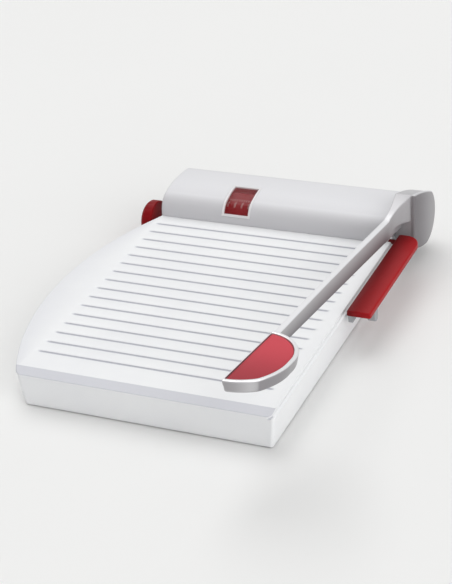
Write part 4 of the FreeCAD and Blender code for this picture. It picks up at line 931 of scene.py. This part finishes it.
# %% Border and lens
border_edges = ((OPENING[0] + GAP, OPENING[1] - GAP), (OPENING_WAY[0] + GAP, OPENING_WAY[1] - GAP))
border_shell = window_shell(*border_edges, sink=-0.15, edge_round=0.35, thickness=2.5,
                            hole=(WINDOW, WINDOW_WAY))
piece("window_border", [border_shell], "base", border_pale, ["window_frame"])

lens = Finish("lens_red_plastic", Roughness=0.2, Alpha=0.36, Specular_IOR_Level=0.25)
lens_cloud = lens.noise(0.02, detail=2)
lens_red = lens.paint(Base_Color=lens.blend(lens_cloud, tint(140, 20, 28), tint(152, 26, 34)))
lens_edges = ((WINDOW[0] + GAP, WINDOW[1] - GAP), (WINDOW_WAY[0] + GAP, WINDOW_WAY[1] - GAP))
lens_shell = window_shell(*lens_edges, sink=0.9, edge_round=0.4, thickness=1.8)
piece("window_lens_shell", [lens_shell], "base", lens_red, ["window_lens"])

# %% [markdown]
# ## The scale behind the lens
# A bent strip rides with the stop and shows how thick the slices will be. Its marks are print, so the
# material draws them, where small solids would need many faces: the distance to the nearest multiple of
# a spacing tells how near a point is to a mark, and one comparison draws the whole row. The strip is its
# outline in Y and Z, carried along X.

# %% Scale strip
FAR_LEFT = 1.0


def marks(finish, spacing, width, low, high):
    """Mask of short marks across X, spacing metres apart, between two depths y. They are counted from
    far to the left, because a ping-pong needs a number above 0."""
    across, depth = finish.along("X"), finish.along("Y")
    nearest = across.maths("PINGPONG", across + FAR_LEFT, spacing / 2)
    return (nearest < width / 2) * (depth > low) * (depth < high)


strip = Finish("scale_strip_print", Roughness=0.5)
long_marks = marks(strip, spacing=0.006, width=0.0016, low=0.098, high=0.1028)
short_marks = marks(strip, spacing=0.002, width=0.0008, low=0.104, high=0.1065)
shown = long_marks.maths("MAXIMUM", long_marks, short_marks)
ground = strip.blend(strip.noise(0.01), tint(168, 44, 50), tint(178, 50, 56))
strip_print = strip.paint(Base_Color=strip.blend(shown, ground, tint(244, 236, 232)))
STRIP = (-38.0, -6.0)
strip_line = [(92.5, 31.6), (93.5, 31.6), (100.4, 37.9), (113.5, 40.8), (113.5, 22.6), (114.5, 22.6),
              (114.5, 41.8), (99.9, 38.9)]
strip_outline = softened(np.array(strip_line), 0.3)
bent = slab(lambda inset: strip_outline, *STRIP, under=0.05, over=0.05, order=ACROSS)
piece("scale_strip_bent", [bent], "stop", strip_print, ["scale_strip"])

# %% [markdown]
# ## Knob and spindle
# The knob has a full shoulder, a face that slopes to the middle and shallow flutes for the fingers. A
# cylinder with bevels has no such slope, so a profile is turned about the spindle's axis, and the flutes
# are a ripple added to its radius.

# %% Knob
SPINDLE_YZ = (96.0, 18.2)
KNOB_INNER, KNOB_THICK, KNOB_RADIUS = -91.0, 11.0, 16.0
FLUTES, FLUTE_DEPTH = 18, 0.35
KNOB_SHARES = [(0, 0.95, 0.4), (0.07, 1, 0), (0.6, 1, 0.2), (0.94, 0.76, 0.06), (1, 0.1, 0), (1, 0, 0)]
knob_line = bulged([(KNOB_INNER - KNOB_THICK * along, KNOB_RADIUS * out, bulge)
                    for along, out, bulge in KNOB_SHARES], 14)
knob_line = np.concatenate([[(KNOB_INNER, radius) for radius in (0, 8, 15)], knob_line])


def flutes(x, angle):
    """Shallow finger grooves round the knob's shoulder: a squared cosine that fades at both ends."""
    dip = np.clip(np.cos(FLUTES * angle), 0, 1) ** 2
    return -FLUTE_DEPTH * dip * smooth((KNOB_INNER - 1.2 - x) / 1.5) * smooth((x - KNOB_INNER + 9.5) / 3)


piece("knob_turned", [turned(knob_line, SPINDLE_YZ, 144, flutes)], "knob", knob_red,
      ["thickness_knob"])

# %% [markdown]
# The spindle is a rod with a five-start thread: the radius falls in step with how far along and how far
# round a point is, which winds the grooves by itself.

# %% Spindle
THREAD, ROD, COLLAR = (-66.0, 88.0), 3.0, 4.5
LEAD, STARTS, THREAD_DEPTH = 10.0, 5, 0.45


def thread(x, angle):
    """Dip of a thread with several starts: a triangle wave of how far along plus how far round."""
    turns = STARTS * (x / LEAD + angle / (2 * np.pi))
    wave = 1 - 2 * np.abs(turns - np.floor(turns) - 0.5)
    return -THREAD_DEPTH * wave * smooth((x - THREAD[0]) / 2) * smooth((THREAD[1] - x) / 2)


threaded = np.arange(*THREAD, 0.25)
spindle_line = np.concatenate([
    [(-99, 0), (-99, ROD), (-76.1, ROD), (-76.1, COLLAR - 0.2), (-75.9, COLLAR), (-74.3, COLLAR),
     (-74.1, COLLAR - 0.2), (-74.1, ROD)],
    np.column_stack([threaded, np.full(len(threaded), ROD)]), [(98.5, ROD), (99, ROD - 0.5), (99, 0)]])
piece("spindle_threaded", [turned(spindle_line, SPINDLE_YZ, 40, thread)], "knob", rod_steel,
      ["spindle"])

# %% [markdown]
# ## The stop
# The red stop is a plate beside the board, with a round rear corner, soft edges and a tongue that
# reaches the carriage under the hood. Cubes with a bevel would do for the blocks, but not for the round
# corner, so all of them are outlines carried over a short way, and their edges come out alike.

# %% Stop plate and tongue
QUARTER = math.sqrt(2) - 1
STOP_LEFT, STOP_RIGHT, STOP_FRONT, STOP_REAR, STOP_CORNER = 117.0, 135.4, -18.5, 98.0, 12.0
STOP_LOW, STOP_TOP = 26.7, 31.2


def stop_plan(inset):
    """Plan of the stop moved in by an inset, with a large round at its rear right corner."""
    left, right, front, rear = STOP_LEFT + inset, STOP_RIGHT - inset, STOP_FRONT + inset, STOP_REAR - inset
    corner = STOP_CORNER - inset
    return softened(bulged([(left, front, 0), (right, front, 0), (right, rear - corner, QUARTER),
                            (right - corner, rear, 0), (left, rear, 0)]), 1.0)


BLOCK_ROUND = 0.4


def block(x, y, z):
    """Block with rounded edges between two x, two y and two z."""
    def plan(inset):
        (left, right), (front, rear) = ((low + inset, high - inset) for low, high in (x, y))
        corners = np.array([(left, front), (right, front), (right, rear), (left, rear)])
        return softened(corners, BLOCK_ROUND, 96)
    return slab(plan, *z, under=BLOCK_ROUND, over=BLOCK_ROUND)


def stop_painted_shadow(points, normals):
    """Painted shadow: deeper red at the left, under the arm, and painted lighter towards the right edge."""
    return smooth((points[:, 0] - STOP_LEFT + 3) / 22)


TONGUE_END, TONGUE_LOW = 126.2, 22.6
post = block((117.2, TONGUE_END), (91.8, 97.8), (TONGUE_LOW, 28))
tongue = block((69, TONGUE_END), (91.7, 98.7), (TONGUE_LOW, 25.6))
carriage_plate = block((69, 79), (95, 107), (TONGUE_LOW, 25.6))
plate = slab(stop_plan, STOP_LOW, STOP_TOP, under=0.6, over=1.2)
piece("stop_plate", [plate, post, tongue, carriage_plate], "stop", stop_red, ["slice_stop"],
      tone=stop_painted_shadow)

# %% [markdown]
# A grey lug under the plate's front end holds a guide pin, which runs into the board's side, and a small
# grey nub stands under the plate's front corner.

# %% Lug and guide pin
GUIDE_YZ, PIN = (-4.0, 20.2), 2.5
LUG_X, LUG_HALF, LUG_TOP, LUG_SCALE = (128.4, 134.4), 3.5, 28.0, 5.0
lug_left, lug_right = GUIDE_YZ[0] - LUG_HALF, GUIDE_YZ[0] + LUG_HALF
lug_line = softened(bulged([(lug_left, GUIDE_YZ[1], 1), (lug_right, GUIDE_YZ[1], 0),
                            (lug_right, LUG_TOP, 0), (lug_left, LUG_TOP, 0)]), 0.4)


def lug_plan(inset):
    """Side outline of the lug, drawn in towards the pin."""
    return lug_line + (np.array(GUIDE_YZ) - lug_line) * inset / LUG_SCALE


lug = slab(lug_plan, *LUG_X, under=0.5, over=0.5, order=ACROSS)
nub = block((117.4, 121), (-17, -10), (20.5, 27))
piece("stop_lug", [lug, nub], "stop", underside_grey)
pin_line = [(96, 0), (96, PIN - 0.4), (96.4, PIN), (133, PIN), (133.4, PIN - 0.4), (133.4, 0)]
piece("guide_pin_turned", [turned(pin_line, GUIDE_YZ, 40)], "stop", rod_steel, ["stop_guide_pin"])

# %% [markdown]
# ## The arm
# Bar and hub are one casting. The bar's top is slightly crowned, and near the hub it rises and its right
# face flares out in a curve. A long box can't bend like that, so the bar is a rounded section carried
# along the arm, whose height and width are functions of the place along it. Past the hub's edge it sinks
# into the hub, so that no two faces lie on one another.

# %% Bar
BAR_FRONT, NECK, HUB_EDGE, BAR_END = -271.5, -59.0, -31.4, -22.0
BAR_HALF, BAR_LOW, BAR_ROUND, FLARE_HALF = 2.5, 0.8, 0.8, 10.7
TOP_FRONT, TOP_NECK, TOP_HUB, SUNK = 11.2, 15.5, 28.2, 0.05
top_line = bulged([(BAR_FRONT, TOP_FRONT, -0.0074), (NECK, TOP_NECK, 0.12), (HUB_EDGE, TOP_HUB, 0)], 40)
top_line = np.concatenate([top_line, [(HUB_EDGE + 0.8, TOP_HUB - 0.9), (BAR_END, 24.5)]])
face_line = bulged([(NECK, BAR_HALF, 0.2), (HUB_EDGE, FLARE_HALF, 0)], 40)
along = np.concatenate([[BAR_FRONT, BAR_FRONT + 0.2, BAR_FRONT + 0.8], np.linspace(-262, NECK, 28),
                        np.linspace(NECK, HUB_EDGE, 20)[1:], [HUB_EDGE + 0.8, BAR_END]])
bar_top = np.interp(along, *top_line.T)[:, None]
flare = np.interp(along, *face_line.T)[:, None] - BAR_HALF
round_turn = np.linspace(0, np.pi / 2, 6)
out, over = BAR_HALF - BAR_ROUND * (1 - np.sin(round_turn)), BAR_ROUND * (1 - np.cos(round_turn))
bar_low = np.interp(along, [-36, -16], [BAR_LOW, 0])[:, None]
climb = bar_low + BAR_ROUND + (bar_top - bar_low - 2 * BAR_ROUND) * np.linspace(0, 1, 18)[1:-1]
half_loop = np.concatenate([together(out, bar_low + over), together(BAR_HALF, climb),
                            together(out[::-1], bar_top - over[::-1])], axis=1)
left_loop = half_loop[:, ::-1] * [-1, 1]
left_loop[along > HUB_EDGE, :, 0] += SUNK
spread = flare * smooth((half_loop[..., 1] - 3.5) / 4)
right_loop = together(half_loop[..., 0] + spread, half_loop[..., 1])
loop = np.concatenate([right_loop, left_loop], axis=1)
bar = together(loop[..., 0], along[:, None], loop[..., 1])
print("the bar has", bar.shape[0], "sections of", bar.shape[1], "points")

# %% [markdown]
# The hub is a plate with a round back about the pin, and a cover closes its outer side. A disc joined to
# a box would show a seam, so one softened outline gives the whole plate, and the cover is the same
# outline a little larger. A tang at the bar's other end carries the handle.

# %% Hub and its cover
HUB_FRONT, HUB_RADIUS, HUB_LEFT, HUB_RIGHT, COVER_RIGHT = 32.0, 21.0, -2.5, 11.2, 14.0
COVER_OVERLAP = 0.6


def hub_plan(inset):
    """Side outline of the hub in (v, w): straight front, sloping top and a round back about the pin."""
    front, radius = HUB_FRONT - inset, HUB_RADIUS - inset
    line = bulged([(-front - 0.63, 28.8 - inset, 0), (-front + 0.63, -14.3 + inset, 0.1),
                   (-0.15 * radius, -0.989 * radius, 0.68), (0.45 * radius, 0.893 * radius, 0.05),
                   (-front - 0.63, 28.8 - inset, 0)], 24)
    return softened(line[:-1], 1.6, 300)


def arm_painted_shading(points, normals):
    """Painted light and shade: bright on top, grey at the sides, and darker towards the bar's lower edge.
    """
    v, w, looks_up = to_arm(points, normals)
    height = np.clip((w - BAR_LOW) / (np.interp(v, *top_line.T) - BAR_LOW), 0, 1)
    beside = np.where(v < NECK, 0.02 + 0.46 * height, 0.35 + 0.1 * height)
    top_share = smooth(looks_up / 0.8)
    return beside * (1 - top_share) + top_share * (1 - 0.45 * smooth((v - NECK) / 15))


def cap_painted_shading(points, normals):
    """Painted light and shade: light on top, and on the face dark at the front and lighter towards the
    back.
    """
    v, _, looks_up = to_arm(points, normals)
    face = np.clip(normals[:, 0], 0, 1)
    return 0.6 * smooth(looks_up / 0.8) + 0.24 * (1 - face) + (0.06 + 0.32 * smooth((v + 30) / 50)) * face


tang = softened(np.array([(-2, 5.7), (2, 5.7), (2, 8.7), (-2, 8.7)]), 0.3, 48)
tang_bar = lofted([levelled(tang, level, ALONG) for level in (-301, -268)])
hub_body = slab(lambda inset: hub_plan(COVER_OVERLAP + inset), HUB_LEFT, HUB_RIGHT, under=0.9, over=0.3,
                order=ACROSS)
cover = slab(hub_plan, HUB_RIGHT, COVER_RIGHT, under=0.4, over=1.1, order=ACROSS, crown=0.2)
piece("arm_casting", [on_arm(lofted(bar)), on_arm(hub_body), on_arm(tang_bar)], "arm", arm_silver,
      ["arm_bar"], tone=arm_painted_shading)
piece("hub_cover", [on_arm(cover)], "arm", cap_silver, ["hub_cap"], tone=cap_painted_shading)

# %% [markdown]
# ## The handle
# The handle is a silver rim round a red pad. The rim's outline is straight at the left and round at the
# right, and its sides draw in downwards. A well cut by a Boolean would need its edges bevelled, so the
# rim is a stack of rings that starts inside the well, goes over the top band and down the outer side to
# the foot, and each edge gets the rounding it has. The well's left wall is the thinnest.

# %% Handle rim
HANDLE_LONG, HANDLE_WIDE, HANDLE_TOP, RIM_WIDTH = 81.3, 31.3, 12.3, 3.4
HANDLE_SHARES = [(0, 0, -0.17), (0.642, 0.13, -0.2), (1, 0.509, -0.17), (0.706, 0.902, -0.17), (0, 1, 0)]


def handle_plan(inset, left):
    """Plan of the handle in (x', v), moved in by an inset; left moves in its straight side."""
    line = bulged([(-BAR_HALF + left + (HANDLE_WIDE - inset - left) * across,
                    BAR_FRONT - inset - (HANDLE_LONG - 2 * inset) * along, bulge)
                   for across, along, bulge in HANDLE_SHARES], 24)
    return softened(line, 1.2, 320)


# Rings as (how far in, how far below the top)
TAPER, SIDE_DOWN, WELL_DOWN = math.tan(math.radians(12)), 7.4, 3.0
RIM_INSIDE = [(RIM_WIDTH, WELL_DOWN), (RIM_WIDTH, 0.5), (RIM_WIDTH - 0.15, 0.15), (RIM_WIDTH - 0.5, 0)]
RIM_OUTSIDE = [(1.1, 0), (0.7, 0.1), (0.4, 0.35), (0.2, 0.8)]
RIM_SIDE = [(TAPER * down, down) for down in (1.5, 3, 4.5, 6, SIDE_DOWN)]
RIM_FOOT = [(TAPER * SIDE_DOWN + inset, down)
            for inset, down in ((0.25, 8.0), (0.7, 8.5), (1.3, 8.75), (2, 8.8))]
rim_loops = [levelled(handle_plan(inset, inset * (0.2 if down < 4 else 0.5)), HANDLE_TOP - down)
             for inset, down in RIM_INSIDE + RIM_OUTSIDE + RIM_SIDE + RIM_FOOT]


def rim_painted_shading(points, normals):
    """Painted light and shade: bright on the top band, darker down its sides, a lighter stretch near the
    front.
    """
    v, _, looks_up = to_arm(points, normals)
    front_light = 0.4 * np.exp(-((normals[:, 1] + 0.86) / 0.12) ** 2)
    beside = 0.1 + front_light + 0.1 * smooth((v + 335) / 60)
    top_share = smooth(looks_up / 0.7)
    return beside * (1 - top_share) + top_share


piece("handle_rim", [on_arm(lofted(rim_loops))], "arm", rim_silver, ["handle_frame"],
      tone=rim_painted_shading)

# %% [markdown]
# The pad lies a little below the rim's edge with a crown of its own. Rim and pad are the same outline at
# different insets, so the gap between them stays even.

# %% Handle pad
PAD_IN, PAD_LEFT, PAD_TOP, PAD_CROWN = RIM_WIDTH + 0.35, 0.9, HANDLE_TOP - 0.7, 0.5


def pad_painted_shading(points, normals):
    """Painted shade: lighter towards the arm and darker towards the handle's front."""
    v, _, _ = to_arm(points, normals)
    return 0.15 + 0.85 * smooth((v + 350) / 62)


pad_loops = [levelled(handle_plan(PAD_IN, PAD_LEFT), HANDLE_TOP - WELL_DOWN)]
pad_loops += [levelled(handle_plan(PAD_IN + inset, PAD_LEFT + inset), PAD_TOP - down)
              for inset, down in ((0, 0.6), (0.1, 0.3), (0.35, 0.1), (0.7, 0.0))]
pad_loops += crowned(pad_loops[-1], PAD_CROWN, 2, (0.15, 0.35, 0.6, 0.85))
piece("handle_pad", [on_arm(lofted(pad_loops))], "arm", pad_red, ["handle_inset"], tone=pad_painted_shading)

# %% [markdown]
# ## The wire
# The cutting wire is twisted from strands. Six strands wound as tubes would take many faces for 0.8 mm.
# A round bar whose radius rises and falls around it, with the pattern turned a little further at each
# step along, gives the lay of the strands at little cost.

# %% Wire
WIRE_FRONT, WIRE_REAR, WIRE_DROP, WIRE_RADIUS, WIRE_LAY, STRANDS = -262.0, -30.0, -0.6, 0.4, 5.0, 6
STRAND_HEIGHT = 0.18
wire_along = np.arange(WIRE_FRONT, WIRE_REAR, 0.4)[:, None]
wire_angle = np.linspace(0, 2 * np.pi, 24, endpoint=False)[None]
lay = np.abs(np.sin((wire_angle - 2 * np.pi * wire_along / WIRE_LAY) * STRANDS / 2))
wire_radius = WIRE_RADIUS * (1 - STRAND_HEIGHT + STRAND_HEIGHT * lay)
wire = together(wire_radius * np.cos(wire_angle), wire_along, WIRE_DROP + wire_radius * np.sin(wire_angle))
piece("wire_twisted", [on_arm(lofted(wire))], "arm", wire_steel, ["cutting_wire"])

# %% [markdown]
# ## Feet and screws
# The slicer stands on four rubber feet with a ring pressed into each. A foot is round, so it is a profile
# turned about X like the knob, by the same function, then stood up: its X becomes z.

# %% Feet


def upright(shape, place):
    """A shape turned about the X axis stood up, about an upright axis at place (x, y)."""
    points, faces = shape
    return together(points[..., 1] + place[0], points[..., 2] + place[1], points[..., 0]), faces


FOOT_PLACES = [(93, -128), (-62, -128), (87, 128), (-62, 128)]
foot_line = [(1, 0), (1, 7), (-0.45, 7), (-0.7, 6.8), (-0.8, 6.4), (-0.8, 5.2), (-0.7, 5), (-0.2, 4.8),
             (-0.2, 4.2), (-0.7, 4), (-0.8, 3.8), (-0.8, 0)]
rubber_foot = turned(foot_line, (0, 0), 48)
piece("rubber_feet_turned", [upright(rubber_foot, place) for place in FOOT_PLACES], "base", foot_rubber,
      ["rubber_feet"])

# %% [markdown]
# Six cross-headed screws hold the closing plate. Only their heads are seen, so the cross isn't cut: the
# head is a fine disc, and the cross is a dip in its height, deep where a point is near either arm of the
# cross and not too far out.

# %% Screws
SCREW_PLACES = [(103, -138), (-72, -138), (103, 76), (-72, 76), (-72, 138), (67.5, 138)]
CROSS_DEPTH, CROSS_HALF, CROSS_REACH = 0.9, 0.5, 1.9
screw_line = [(12, 0), (12, 1.3), (11.6, 1.5), (1.5, 1.5), (1.5, 2.9), (1.4, 3), (0.25, 3), (0.06, 2.8),
              (0, 2.5)]
screw_line += [(0, radius) for radius in np.linspace(2.3, 0, 16)]


def cross_head(place):
    """Screw seen from below: a flat head with a rounded edge and a cross pressed into it."""
    points, faces = turned(screw_line, (0, 0), 64)
    off_cross = np.minimum(np.abs(points[..., 1]), np.abs(points[..., 2]))
    off_axis = np.hypot(points[..., 1], points[..., 2])
    dip = CROSS_DEPTH * smooth((CROSS_HALF - off_cross) / 0.15) * smooth((CROSS_REACH - off_axis) / 0.3)
    points[..., 0] += dip * (points[..., 0] < 0.01)
    return upright((points, faces), place)


piece("bottom_screws_crossed", [cross_head(place) for place in SCREW_PLACES], "base", screw_steel,
      ["bottom_screws"])
